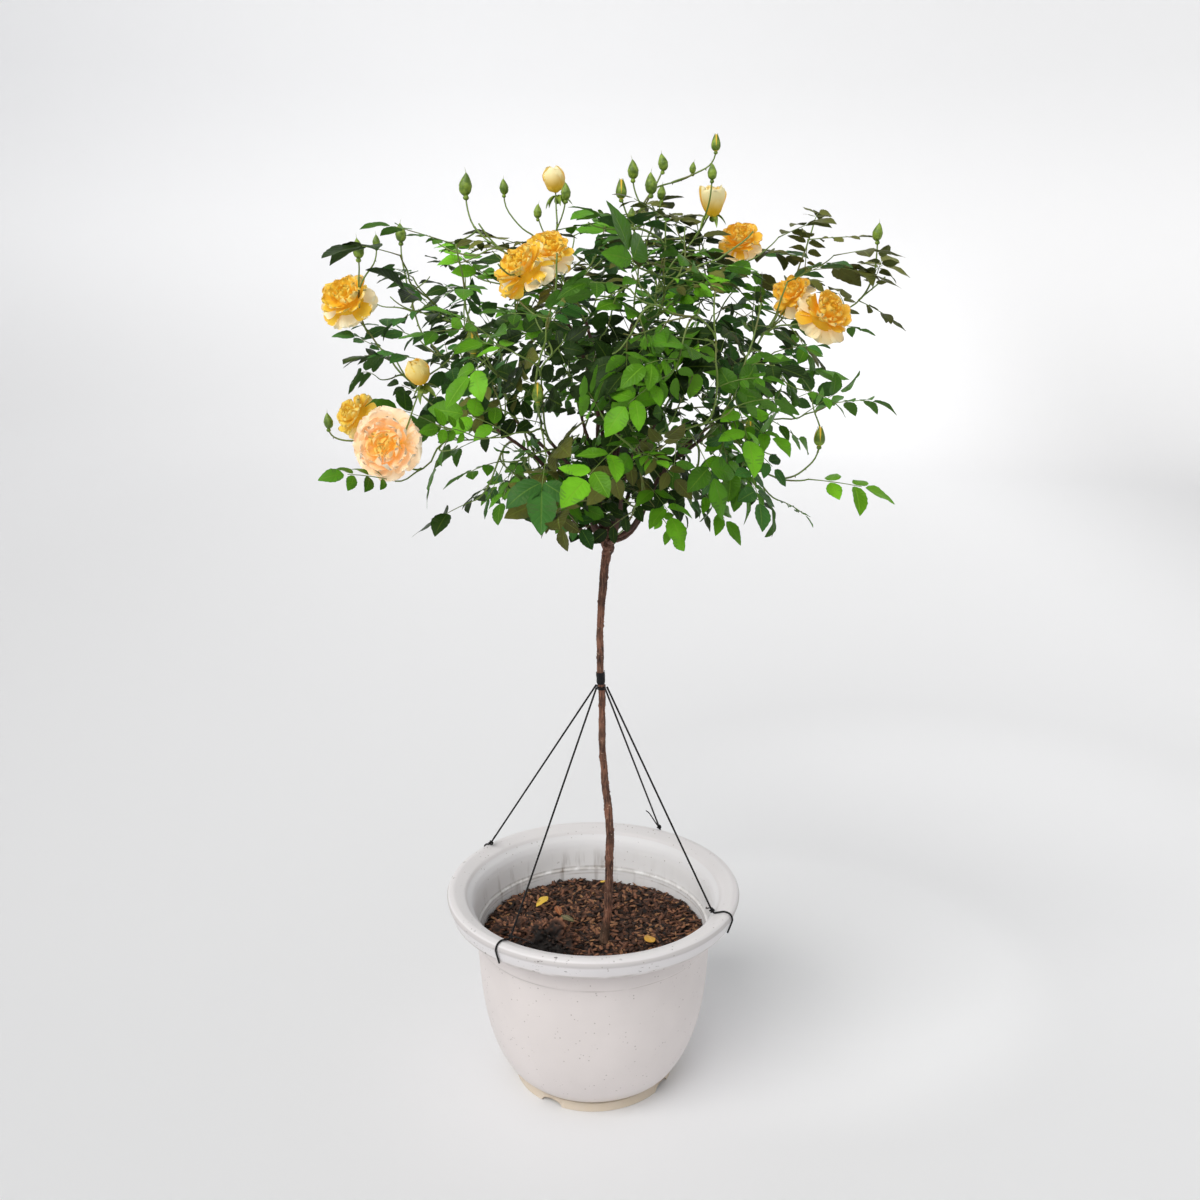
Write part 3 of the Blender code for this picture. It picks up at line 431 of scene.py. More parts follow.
def bark_finish(colour):
    """Reddish-brown bark: grain along the stem, dark cracks and pale lenticels lying across it; painted shade
    darkens it from the head up, under the crown.
    """
    made = Finish("rose_bark", Roughness=0.75)
    _, _, z = made.parts(made.place)
    grain = made.noise(420.0, 5.0, 0.65, made.tall(0.18))
    made.base = made.mix(made.noise(45.0).above(0.35, 0.65), tinted(colour, 0.9), tinted(colour, 2.3))
    made.over(grain.above(0.5, 0.72) * 0.8, (0.36, 0.2, 0.13))
    made.over(grain.above(0.5, 0.36) * 0.9, (0.018, 0.01, 0.007))
    made.over(z.above(0.27, 0.225) * 0.6, (0.03, 0.028, 0.014))
    # Painted shade: the bark is darker from the head up, under the crown.
    made.over(z.above(0.79, 0.83) * 0.8, tinted(colour, 0.42))
    pale = made.spots(150.0, made.tall(1.9)).above(0.24, 0.13) * made.noise(90.0).above(0.52, 0.6)
    made.over(pale * 0.85, (0.52, 0.37, 0.26))
    made.relief(grain + pale * 0.8, 0.0007, 0.7)
    return made.painted(0.62 + grain * 0.25)


def stem_finish(green, brown):
    """Young stems: green turning brown with age by the shade, with a reddish flush and pale dots."""
    made = Finish("young_stem", Roughness=0.5)
    age = made.shade() + (made.noise(60.0) - 0.5) * 0.3
    made.base = made.mix(age.above(0.25, 0.75), green, brown)
    made.over(made.noise(28.0).above(0.52, 0.66) * 0.45, (0.16, 0.05, 0.025))
    made.over(made.spots(700.0).above(0.2, 0.1) * 0.35, (0.35, 0.27, 0.15))
    made.relief(made.noise(900.0, place=made.tall(0.3)), 0.0002, 0.4)
    return made.painted(0.42 + age * 0.2)


def leaf_finish(name, colour):
    """A leaf: a pale midrib and side veins, quilted between them, mottled, and a dull grey-green back."""
    made = Finish(f"leaf_{name}", Roughness=0.42, Specular_IOR_Level=0.13)
    along, v, back = made.sheet()
    side = abs(v * 2.0 - 1.0)
    rib = side.above(0.1, 0.02)
    cell = abs((along * 7.0 - side * 1.9).fraction() - 0.5) * 2.0
    vein = cell.above(0.8, 0.97) * side.above(0.95, 0.7)
    tone = made.noise(26.0) * 0.45 + made.shade() * 0.55
    made.base = made.mix(tone.above(0.25, 0.78), tinted(colour, 0.55), tinted(colour, 1.48))
    made.over(side.above(0.78, 1.0) * 0.25, tinted(colour, 0.55))
    made.over(rib * 0.55 + vein * 0.16, tinted(colour, 0.75, (0.09, 0.13, 0.015)))
    made.over(back * 0.75, tinted(colour, 0.6, (0.04, 0.062, 0.022)))
    made.relief(cell ** 2.0 * -0.5 - rib * 0.6 + made.noise(500.0) * 0.25, 0.0006, 0.55)
    return made.painted(0.36 + back * 0.25 + made.noise(90.0) * 0.12)


def petal_finish(name, claw, blade, edge, back):
    """A petal: deep at its claw, a blade that pales or flushes to its edge, fine veins, and a pale
    back; outer petals, of high shade, are paler. A faint glow of its own stands for the light that
    passes through."""
    glow = 0.3 if name == "peach" else 0.18
    made = Finish(f"petal_{name}", Roughness=0.55, Specular_IOR_Level=0.25, Emission_Strength=glow)
    along, v, under = made.sheet()
    shade = made.shade()
    tone = made.noise(60.0)
    made.base = made.mix(along.above(0.14, 0.68) * 0.9 + tone * 0.1, claw, blade)
    made.over(along.above(0.7, 1.0) * shade.above(0.02, 0.3) * (0.35 + tone * 0.7), edge)
    made.over(shade.above(0.24, 0.04) * 0.7, claw)
    # Painted light: the backs of inner petals keep their warm colour, standing for light shining through
    # them.
    made.over(under * along.above(0.12, 0.75) * shade.above(0.15, 0.55) * 0.6, back)
    made.over(shade.above(0.75, 1.0) * (0.65 + along * 0.25), back)
    line = made.add("ShaderNodeCombineXYZ", None, {"X": along * 0.15, "Y": v})
    vein = made.noise(55.0, 2.0, place=line)
    made.over(vein.above(0.55, 0.75) * 0.18, claw)
    made.relief(vein + tone * 0.5, 0.0004, 0.35)
    made.feed(made.shader.inputs["Emission Color"], made.base)
    return made.painted(0.48 + tone * 0.18)


def bud_finish(name, dark, light):
    """Sepals, hips and tight buds: light green with darker mottling and a reddish tip."""
    made = Finish(name, Roughness=0.45)
    tone = made.noise(140.0)
    made.base = made.mix(tone.above(0.35, 0.65), dark, light)
    made.over(made.shade().above(0.6, 1.0) * 0.5, (0.2, 0.07, 0.03))
    made.relief(tone, 0.0003, 0.4)
    return made.painted(0.4 + tone * 0.2)


def cord_finish(name, colour, ridges, turns):
    """Black cord whose strands wind round it, or tape whose film is creased along it."""
    made = Finish(name, Roughness=0.45, Specular_IOR_Level=0.25)
    u, v, _ = made.uv()
    strand, cross = (abs((u * turns + v * way).fraction() - 0.5) * 2.0 for way in (ridges, -ridges))
    dust = made.noise(160.0)
    made.base = made.mix(dust.above(0.45, 0.75) * 0.3, colour, (0.035, 0.033, 0.03))
    made.relief(strand * 0.5 + cross * 0.5, 0.0003, 0.7)
    return made.painted(0.34 + dust * 0.25)


def litter_finish():
    """Fallen leaves in yellow, ochre and russet by the shade, with brown blotches and a midrib."""
    made = Finish("fallen_leaf", Roughness=0.6)
    _, v, _ = made.uv()
    made.base = made.ramp(
        made.shade(), (0.0, (0.8, 0.52, 0.06)), (0.35, (0.62, 0.3, 0.03)), (0.65, (0.26, 0.065, 0.025)),
        (1.0, (0.13, 0.12, 0.05)))
    blotch = made.noise(130.0)
    made.over(blotch.above(0.56, 0.68) * 0.6, (0.12, 0.05, 0.02))
    made.over(abs(v * 2.0 - 1.0).above(0.12, 0.02) * 0.4, (0.7, 0.55, 0.25))
    made.relief(blotch, 0.0005, 0.4)
    return made.painted(0.5 + blotch * 0.2)


def floor_finish(colour):
    """Plain pale studio paper with the faintest mottling. Its colour is toned from side to side and with
    height, painted light and shade that even out the key light, and lighter at two wide soft places at the
    right, painted light over the cast shadows of the pot and the crown."""
    made = Finish("studio_paper", Roughness=0.9, Specular_IOR_Level=0.0)
    x, y, z = made.parts(made.place)
    # Painted light and shade: the paper is toned across the floor and up the wall to even out the key light.
    made.base = made.mix(x.above(-2.4, -0.4), tinted(colour, 0.91), tinted(colour, 0.98))
    # Painted light over the cast shadows of the pot (near) and of the crown (beyond).
    near = ((x - 0.34) ** 2.0 + (y - 0.26) ** 2.0).above(0.22, 0.02)
    beyond = ((x - 0.74) ** 2.0 + (y - 0.74) ** 2.0).above(0.75, 0.05)
    made.over(near + beyond * 0.7, tinted(colour, 1.12))
    # Painted shade: darker to the right and, on the wall, from left to right, where the key light falls most
    # strongly.
    made.over(x.above(1.6, 3.4), tinted(colour, 0.74))
    made.over(z.above(0.2, 1.6), made.mix(x.above(-4.5, 4.5), tinted(colour, 1.1), tinted(colour, 0.78)))
    made.over(made.noise(1.5, 2.0) * 0.04, tinted(colour, 0.8))
    return made.painted()


# Growth: the source's seeded rule, then carried on to finer twigs

TRUNK_PATH = (
    (0.015, -0.03, 0.2203, 0.0082), (0.0166, -0.03, 0.233, 0.0061),
    (0.0205, -0.0297, 0.268, 0.005), (0.0236, -0.029, 0.353, 0.0047),
    (0.0222, -0.028, 0.405, 0.0049), (0.0157, -0.0265, 0.479, 0.0048),
    (0.0118, -0.025, 0.58, 0.0047), (0.0095, -0.0235, 0.64, 0.0047),
    (0.0117, -0.0225, 0.718, 0.0049), (0.0135, -0.0215, 0.756, 0.0056),
    (0.0185, -0.0205, 0.785, 0.0062), (0.02, -0.02, 0.8, 0.0086),
    (0.02, -0.02, 0.825, 0.0088), (0.02, -0.02, 0.831, 0.0074),
)
STEM_BARK = 0.001      # what the bark adds to the radius of the source's plain stem near its foot
HEAD = Vector((0.02, -0.02, 0.81))
HEAD_RADIUS = 0.0088
HEAD_ROWS = (0.8045, 0.8125, 0.8205)
# Azimuths of masses, reach and height of their middles and of their entries, spread of their boughs at
# the head, how steeply they rise, and seeded tips in each
RING = ((15, 60, 105, 150, 195, 240, 285, 330), (0.25, 1.02), (0.105, 0.925), 0.28, 0.75, 6)
TOP = ((30, 120, 210, 300), (0.08, 1.17), (0.034, 1.04), 0.16, 1.9, 5)
CELL_GAP = 0.0016
LIMB_GAP = 0.0015
BOUGH_BASE = 0.0032
BOUGH_TIP = 0.0024
BOUGH_POINTS = 7
BOUGH_STRAIGHT = 0.005
BOUGH_SWEEP = 0.45
CROWN_LOW = 0.8
CROWN_TOP = 1.222
CROWN_REACH = 0.345
CROWN_HOLLOW = 0.45
CROWN_CAP = 0.06
TIP_ROOM = 0.014
TIP_TRIES = 40
TIP_REACH_LOW = 0.04
TIP_FAR = 0.2
STEM_LENGTH = 0.05
STEM_POINTS = ((0.0, 1.0), (0.4, 0.94), (0.7, 0.88), (1.0, 0.8))
TWIG_TIP = 0.0012
TWIG_ROOT = 0.42
TWIG_SIDES = 3
TWIG_TRIES = 14
TWIG_SHORTEST = 0.03
TWIG_LONG = 0.11
TWIG_TURN = 0.9
TWIG_SWAY = 0.04
TWIG_LEAVE = 0.3
TWIG_ARRIVE = 0.34
TWIG_LIFT = 0.55
TWIG_TAPER = 0.82
BLOOM_BARE = 0.045
BUD_BARE = 0.04
BUD_STALK = 0.42        # share of a bud's twig that ends upright
BLOOM_SEAT = 0.2
BUD_SEAT = 0.36

# Blooms: place of the middle, diameter, azimuth and height of the way that they face, form and colours
BLOOMS = (
    ((-0.312, -0.02, 1.12), 0.074, 250, 42, "cup", "apricot"),
    ((-0.244, -0.16, 0.95), 0.08, 262, 12, "rosette", "peach"),
    ((-0.297, -0.095, 0.981), 0.058, 215, 30, "cup", "golden"),
    ((-0.201, -0.16, 1.032), 0.04, 240, 60, "globe", "golden"),
    ((-0.088, -0.1, 1.158), 0.078, 222, 44, "cup", "apricot"),
    ((-0.052, -0.046, 1.178), 0.066, 285, 56, "cup", "apricot"),
    ((-0.048, 0.03, 1.256), 0.04, 200, 80, "globe", "cream"),
    ((0.15, -0.006, 1.231), 0.036, 270, 78, "goblet", "cream"),
    ((0.192, 0.06, 1.192), 0.06, 265, 48, "cup", "orange"),
    ((0.256, 0.03, 1.124), 0.06, 240, 45, "cup", "orange"),
    ((0.302, -0.004, 1.1), 0.074, 300, 38, "cup", "orange"),
)
# Buds: place of the middle and length
BUDS = (
    ((-0.155, -0.02, 1.251), 0.034), ((-0.112, 0.03, 1.251), 0.024), ((-0.033, 0.004, 1.244), 0.026),
    ((-0.069, 0.02, 1.221), 0.022), ((-0.287, -0.04, 1.175), 0.03), ((-0.269, -0.012, 1.184), 0.02),
    ((-0.248, 0.05, 1.196), 0.03), ((0.036, 0.0, 1.246), 0.028), ((0.052, 0.06, 1.274), 0.03),
    ((0.072, -0.02, 1.252), 0.032), ((0.087, 0.0, 1.278), 0.026), ((0.09, 0.08, 1.247), 0.024),
    ((0.154, 0.02, 1.302), 0.024), ((0.145, -0.04, 1.264), 0.024), ((0.128, 0.05, 1.275), 0.018),
    ((0.362, 0.02, 1.196), 0.028), ((0.275, -0.12, 0.955), 0.028), ((-0.059, -0.24, 1.019), 0.026),
    ((-0.135, -0.18, 1.072), 0.036), ((-0.318, -0.12, 0.974), 0.024), ((0.193, -0.1, 0.966), 0.024),
    ((0.05, 0.04, 1.218), 0.022),
)
OPENING_BUDS = (7, 12, 16, 17, 18, 20)      # numbers of the buds whose petals show
# Middles of leafy sprays that stand where the photo has them
SPRAYS = (
    (0.38, 0.045, 1.14), (0.335, -0.01, 1.066), (0.3, -0.04, 0.985), (0.285, 0.045, 1.21),
    (0.262, -0.135, 0.905), (0.225, -0.14, 0.88), (0.125, -0.07, 0.862), (-0.15, -0.06, 0.865),
    (-0.235, -0.15, 0.905), (-0.255, -0.01, 1.045), (0.01, -0.27, 1.0), (0.06, -0.26, 0.95),
    (-0.03, -0.23, 0.89), (-0.02, -0.035, 0.85), (0.055, -0.05, 0.85),
)

FINE_TWIGS = 10         # finer twigs of a mass, besides those of the source
INNER_TWIGS = 4         # short ones that start on its bough, under the shell of the crown
FINE_TIP = 0.0007
PRICKLES = 520
BLOOM_CLEAR = 0.012     # how far twigs and leaves keep from a bloom's outline as the camera sees it
TOUCHING = 1e-5


def polar(azimuth_deg, reach, height=0.0):
    """A place by its azimuth and distance from the head's axis."""
    angle = math.radians(azimuth_deg)
    return Vector((HEAD.x + reach * math.cos(angle), HEAD.y + reach * math.sin(angle), height))


def facing(azimuth_deg, height_deg):
    """The unit vector of an azimuth and a height over the horizon."""
    azimuth, height = math.radians(azimuth_deg), math.radians(height_deg)
    return Vector((
        math.cos(height) * math.cos(azimuth), math.cos(height) * math.sin(azimuth), math.sin(height)))


def bezier(p0, p1, p2, p3, count):
    """The source's cubic, by the formula of cubic."""
    points = []
    for i in range(count):
        t = i / (count - 1)
        s = 1.0 - t
        points.append(p0 * s**3 + p1 * (3 * s * s * t) + p2 * (3 * s * t * t) + p3 * t**3)
    return points


def tube(points, radii, sides):
    """Corners and faces of the source's coarse tube, for tests of touch."""
    corners, faces = [], []
    last = len(points) - 1
    u = (points[1] - points[0]).orthogonal()
    for i, (point, radius) in enumerate(zip(points, radii)):
        heading = (points[min(i + 1, last)] - points[max(i - 1, 0)]).normalized()
        u = (u - heading * u.dot(heading)).normalized()
        v = heading.cross(u)
        for k in range(sides):
            angle = 2 * math.pi * k / sides
            corners.append(point + u * (radius * math.cos(angle)) + v * (radius * math.sin(angle)))
    for low in range(0, last * sides, sides):
        for k in range(sides):
            j = (k + 1) % sides
            faces.append((low + k, low + j, low + sides + j, low + sides + k))
    return corners, faces + [tuple(reversed(range(sides))), tuple(range(last * sides, len(corners)))]


class Space:
    """The trunk and the boughs, which no twig may touch."""

    def __init__(self, shapes):
        corners, faces = [], []
        for more, sides in shapes:
            faces += [tuple(len(corners) + i for i in side) for side in sides]
            corners += more
        self.tree = BVHTree.FromPolygons(corners, faces)

    def touches(self, shape):
        return bool(self.tree.overlap(BVHTree.FromPolygons(*shape)))

    def far(self, spot, least):
        return self.tree.find_nearest(spot, least)[0] is None


class Mass:
    """One mass of foliage: the middle of its cell, and where and how its stem starts."""

    def __init__(self, azimuth, centre, entry, spread, rise, tips, index):
        self.centre, self.entry = polar(azimuth, *centre), polar(azimuth, *entry)
        self.out = facing(azimuth, 0.0)
        self.heading = (self.out + UP * rise).normalized()
        self.spread, self.tips, self.seed = spread, tips, 11 + 7 * index
        self.row = 2 if index >= len(RING[0]) else index % 2

    def part_from(self, others):
        """Flat sides half-way to every other middle: each a point on it and its way inward."""
        self.planes = [((self.centre + other.centre) / 2, (self.centre - other.centre).normalized())
                       for other in others if other is not self]

    def room(self, point):
        """How far a point lies inside the cell: the least distance to its flat sides."""
        return min((point - middle).dot(normal) for middle, normal in self.planes)


def make_masses():
    """Cells are the regions nearest each centre, so every cell is convex with flat sides."""
    rows = [(azimuth, *rest) for azimuths, *rest in (RING, TOP) for azimuth in azimuths]
    masses = [Mass(*row, index) for index, row in enumerate(rows)]
    for mass in masses:
        mass.part_from(masses)
    return masses


def bough_controls(mass):
    """The cubic that leaves the head level, then sweeps up to the entry of its mass."""
    start = Vector((HEAD.x, HEAD.y, HEAD_ROWS[mass.row])) + mass.out * (HEAD_RADIUS + GAP)
    end = mass.entry - mass.heading * GAP
    span = (end - start).length
    return start, start + mass.out * (span * mass.spread), end - mass.heading * (span * BOUGH_SWEEP), end


def bough_route(mass):
    """The source's bough: points and radii along that cubic, straight for the first and last 5 mm."""
    points = bezier(*mass.controls, BOUGH_POINTS)
    points[1] = points[0] + mass.out * BOUGH_STRAIGHT
    points[-2] = points[-1] - mass.heading * BOUGH_STRAIGHT
    last = BOUGH_POINTS - 1
    return points, [BOUGH_BASE + (BOUGH_TIP - BOUGH_BASE) * i / last for i in range(BOUGH_POINTS)]


def crown_radius(height):
    """Reach of the crown at a height: a bowl that opens upward and rounds in at the top."""
    t = (height - CROWN_LOW) / (CROWN_TOP - CROWN_LOW)
    if not 0.0 < t < 1.0:
        return 0.0
    return CROWN_REACH * (1.0 - (1.0 - t) ** 2.4) ** 0.8 * (1.0 - t**8) ** 0.5


def reach_of(spot):
    """Distance of a spot from the head's axis."""
    return math.hypot(spot.x - HEAD.x, spot.y - HEAD.y)


def in_shell(spot):
    """True in the outer part of the crown and anywhere near its top."""
    reach, widest = reach_of(spot), crown_radius(spot.z)
    return reach < widest and (reach > CROWN_HOLLOW * widest or spot.z > CROWN_TOP - CROWN_CAP)


def in_hollow(spot):
    """True under the shell: between a sixth and six tenths of the crown's reach, and not at its top."""
    widest = crown_radius(spot.z)
    return 0.16 * widest < reach_of(spot) < 0.6 * widest and spot.z < CROWN_TOP - 2 * CROWN_CAP


def jitter(rng, most):
    """A small vector with seeded parts."""
    return Vector([rng.uniform(-most, most) for _ in range(3)])


def even_tips(mass, rng, count, taken, within=in_shell):
    """Seeded tips inside one cell: each is the best of many tries for its distance from the others."""
    chosen = list(taken)
    for _ in range(count):
        tries = []
        while len(tries) < TIP_TRIES:
            azimuth, reach = rng.uniform(0, 360), rng.uniform(TIP_REACH_LOW, CROWN_REACH)
            spot = polar(azimuth, reach, rng.uniform(CROWN_LOW, CROWN_TOP))
            if within(spot) and mass.room(spot) > TIP_ROOM:
                tries.append(spot)
        chosen.append(max(tries, key=lambda spot: min(
            [(spot - tip).length for tip in chosen] + [TIP_FAR])))
    return chosen[len(taken):]


class Twig:
    """A tapering stretch of points and the cubic under it; bare is the length at its tip without leaves."""

    def __init__(self, points, radii, controls, bare=0.0, age=0):
        self.points, self.radii, self.controls = points, radii, controls
        self.bare, self.age = bare, age
        self.spans = [(b - a).length for a, b in zip(points, points[1:])]
        self.length = sum(self.spans)

    def finer(self, count, tip, upright=False):
        """The same cubic with more points, tapering from its thickest to a finer tip; a bud's stalk may
        be turned to end upright."""
        base, controls = max(self.radii), list(self.controls)
        if upright:
            controls[2] = controls[3] - UP * (self.length * BUD_STALK)
        radii = [base + (tip - base) * (i / (count - 1)) ** 0.8 for i in range(count)]
        return Twig(bezier(*controls, count), radii, controls, self.bare, self.age)

    def bears(self, twigs):
        """True where one of the twigs starts on this one."""
        places = bezier(*self.controls, 25)[1:]
        return any((twig.points[0] - place).length < TOUCHING for twig in twigs for place in places)

    def stations(self):
        """Places along the twig with their heading and radius."""
        for i in range(1, len(self.points) - 1):
            heading = (self.points[i + 1] - self.points[i - 1]).normalized()
            yield self.points[i], heading, self.radii[i]

    def at(self, distance):
        """Point and heading at a distance from its start."""
        for a, b, span in zip(self.points, self.points[1:], self.spans):
            if distance <= span:
                return a.lerp(b, distance / span), (b - a).normalized()
            distance -= span
        return self.points[-1].copy(), (self.points[-1] - self.points[-2]).normalized()


def grow_twig(mass, twigs, target, bare, limbs, rng, age=0):
    """Grow to the target from the best-placed twig: one that is near and already heads that way."""
    options = []
    for twig in twigs:
        for place, heading, radius in twig.stations():
            way = target - place
            if way.length > TWIG_SHORTEST:
                turn = 1.0 - heading.dot(way.normalized())
                options.append((way.length * (1.0 + TWIG_TURN * turn), place, heading, radius))
    options.sort(key=lambda option: option[0])
    for _, place, heading, radius in options[:TWIG_TRIES]:
        way = target - place
        handle = place + heading * (way.length * TWIG_LEAVE) + jitter(rng, TWIG_SWAY) * way.length
        arriving = (way.normalized() + UP * TWIG_LIFT).normalized()
        handle_end = target - arriving * (way.length * TWIG_ARRIVE)
        count = 4 if way.length > TWIG_LONG else 3
        points = bezier(place, handle, handle_end, target, count)
        base = max(TWIG_TIP * 1.25, radius * TWIG_TAPER)
        radii = [base + (TWIG_TIP - base) * i / (count - 1) for i in range(count)]
        radii[0] = radius * TWIG_ROOT
        inside = all(mass.room(point) > r + CELL_GAP for point, r in zip(points, radii))
        if inside and not limbs.touches(tube(points, [r + LIMB_GAP for r in radii], TWIG_SIDES)):
            radii[0] = base
            twigs.append(Twig(points, radii, (place, handle, handle_end, target), bare, age))
            return True
    return False


def grow_twigs(mass, limbs, rng):
    """The stem, then twigs to the named and the seeded tips, nearest first, as in the source; the tips
    of blooms and buds lie behind their middles by a share of their size."""
    points = [mass.entry + mass.heading * (STEM_LENGTH * along) for along, _ in STEM_POINTS]
    ends = [points[0].lerp(points[-1], third / 3) for third in range(4)]
    twigs = [Twig(points, [BOUGH_TIP * share for _, share in STEM_POINTS], ends)]
    goals = [(Vector(place) - facing(azimuth, height) * (diameter * BLOOM_SEAT), BLOOM_BARE)
             for place, diameter, azimuth, height, _, _ in BLOOMS]
    goals += [(Vector(place) - UP * (length * BUD_SEAT), BUD_BARE) for place, length in BUDS]
    goals += [(Vector(place), 0.0) for place in SPRAYS]
    goals = [goal for goal in goals if mass.room(goal[0]) >= 0.0]
    goals += [(spot, 0.0) for spot in even_tips(mass, rng, mass.tips, [goal[0] for goal in goals])]
    goals.sort(key=lambda goal: (goal[0] - mass.entry).length)
    for target, bare in goals:
        grow_twig(mass, twigs, target, bare, limbs, rng)
    return twigs


def grow_finer(mass, twigs, limbs):
    """Carries the rule on: finer twigs to more seeded tips in the shell, and short ones off the bough.
    A bare bud stalk is turned upright, and a twig before a bloom that bears nothing is dropped."""
    rng = random.Random(mass.seed + 1000)
    grown = [twigs[0]] + [twig.finer(9, TWIG_TIP * 0.8, twig.bare == BUD_BARE and not twig.bears(twigs))
                          for twig in twigs[1:]]
    spots = even_tips(mass, rng, FINE_TWIGS, [twig.points[-1] for twig in grown])
    for spot in sorted(spots, key=lambda spot: (spot - mass.entry).length):
        if spot.z < ceiling(spot.x) and not hides_bloom(spot, BLOOM_CLEAR):
            grow_twig(mass, grown, spot, 0.0, limbs, rng, 1)
    grown.append(Twig(*mass.bough, ()))
    first = len(grown)
    for spot in even_tips(mass, rng, INNER_TWIGS, [], in_hollow):
        grow_twig(mass, grown, spot, 0.0, limbs, rng, 1)
    fine = grown[1:first - 1] + grown[first:]
    fine = [twig for twig in fine if twig.bare or twig.bears(fine) or not (
        hides_bloom(twig.points[-1], BLOOM_CLEAR)
        or any(hides_bloom(place, 0.0) for place in twig.points[2:]))]
    return [twig.finer(8, FINE_TIP) if twig.age else twig for twig in fine]


@functools.lru_cache(maxsize=1)
def grown_crown():
    """Every mass with its bough's cubic and all its twigs, and the limbs that they keep clear of."""
    masses = make_masses()
    for mass in masses:
        mass.controls = bough_controls(mass)
        mass.bough = bough_route(mass)
    trunk = tube([Vector(row[:3]) for row in TRUNK_PATH], [row[3] for row in TRUNK_PATH], 8)
    limbs = Space([trunk] + [tube(*mass.bough, 6) for mass in masses])
    for mass in masses:
        mass.twigs = grow_finer(mass, grow_twigs(mass, limbs, random.Random(mass.seed)), limbs)
    return masses, limbs


# Pot, mulch, stem, tape and cords

POT_HEIGHT = 0.295
RIM_RADIUS = 0.21
RIM_INNER_RADIUS = 0.18
RIM_INNER_HEIGHT = 0.283
LIP_LOW = 0.266
COLLAR_RADIUS = 0.172
COLLAR_HEIGHT = 0.226
COLLAR_STEP = 0.0035
BOWL_TOP_RADIUS = 0.168
BOWL_FOOT_RADIUS = 0.1095
FOOT_RADIUS = 0.1165
FOOT_HEIGHT = 0.0125
WALL = 0.004
LEDGE_HEIGHT = 0.234
LEDGE_WIDTH = 0.008
BOWL_FLARE = 0.09
NOTCH_AZIMUTH = 239.0
NOTCH_WIDTH = 0.034
NOTCH_REACH = 0.026
NOTCH_ARCH = 0.55
MULCH_HEIGHT = 0.22
MULCH_HUMP = 0.003
CLODS = np.array((-0.072, -0.03))
CLODS_HEIGHT = 0.016
CLODS_SPREAD = 0.026
CLOD_MIDDLES = (
    (-0.062, -0.04, 0.229), (-0.12, -0.018, 0.224), (-0.046, -0.066, 0.221), (-0.032, -0.042, 0.223),
    (-0.098, -0.06, 0.218), (-0.098, 0.022, 0.219),
)
CLOD_CHIPS = 420        # chips that lie on the clods
CRUMBS = 46             # small lumps on the bed
CLOD_RADII = (0.03, 0.0245, 0.019, 0.015, 0.017, 0.011)
TRUNK_FOOT = np.array((0.015, -0.03))
TRUNK_SEAT_RADIUS = 0.013
TRUNK_SEAT_BLEND = 0.03
BAND_LOW = 0.606
BAND_HEIGHT = 0.018
CORD_RADIUS = 0.0013
CORD_TOP = 0.603
CORD_AZIMUTHS = {"front_left": 233.0, "front_right": 335.0, "back_right": 60.0, "back_left": 143.0}


def bowl_radius(height):
    """Outer radius of the bowl: with t the share of its height, low + (top - low) * (0.91 *
    (1 - (1 - t)^2.7)^0.62 + 0.09 t)."""
    share = np.clip((height - FOOT_HEIGHT) / (COLLAR_HEIGHT - FOOT_HEIGHT), 0.0, 1.0)
    low = BOWL_FOOT_RADIUS
    rounded = (1.0 - (1.0 - share) ** 2.7) ** 0.62
    return low + (BOWL_TOP_RADIUS - low) * ((1.0 - BOWL_FLARE) * rounded + BOWL_FLARE * share)


def rim_profile():
    """The rounded rim from its inner edge over the top to the low edge of its lip."""
    return [
        (RIM_INNER_RADIUS, RIM_INNER_HEIGHT), (RIM_INNER_RADIUS + 0.004, RIM_INNER_HEIGHT + 0.0055),
        (RIM_RADIUS - 0.01, POT_HEIGHT), (RIM_RADIUS - 0.003, POT_HEIGHT - 0.0015),
        (RIM_RADIUS, POT_HEIGHT - 0.007), (RIM_RADIUS - 0.003, LIP_LOW + 0.012),
        (RIM_RADIUS - 0.007, LIP_LOW),
    ]


def softened(profile, reach, steps, most=0.34):
    """A line whose corners are rounded: near each corner b, points a' (1-t)^2 + 2 b t (1-t) + c' t^2,
    where a' and c' lie on its two sides at the reach or the most share of the side."""
    profile = np.asarray(profile, float)
    made = [profile[:1]]
    t = np.linspace(0, 1, steps)[:, None]
    for before, corner, after in zip(profile, profile[1:], profile[2:]):
        ends = []
        for other in (before, after):
            side = np.linalg.norm(other - corner)
            ends.append(corner + (other - corner) * min(reach / side, most))
        made.append(ends[0] * (1 - t) ** 2 + corner * (2 * t * (1 - t)) + ends[1] * t**2)
    return np.concatenate(made + [profile[-1:]])


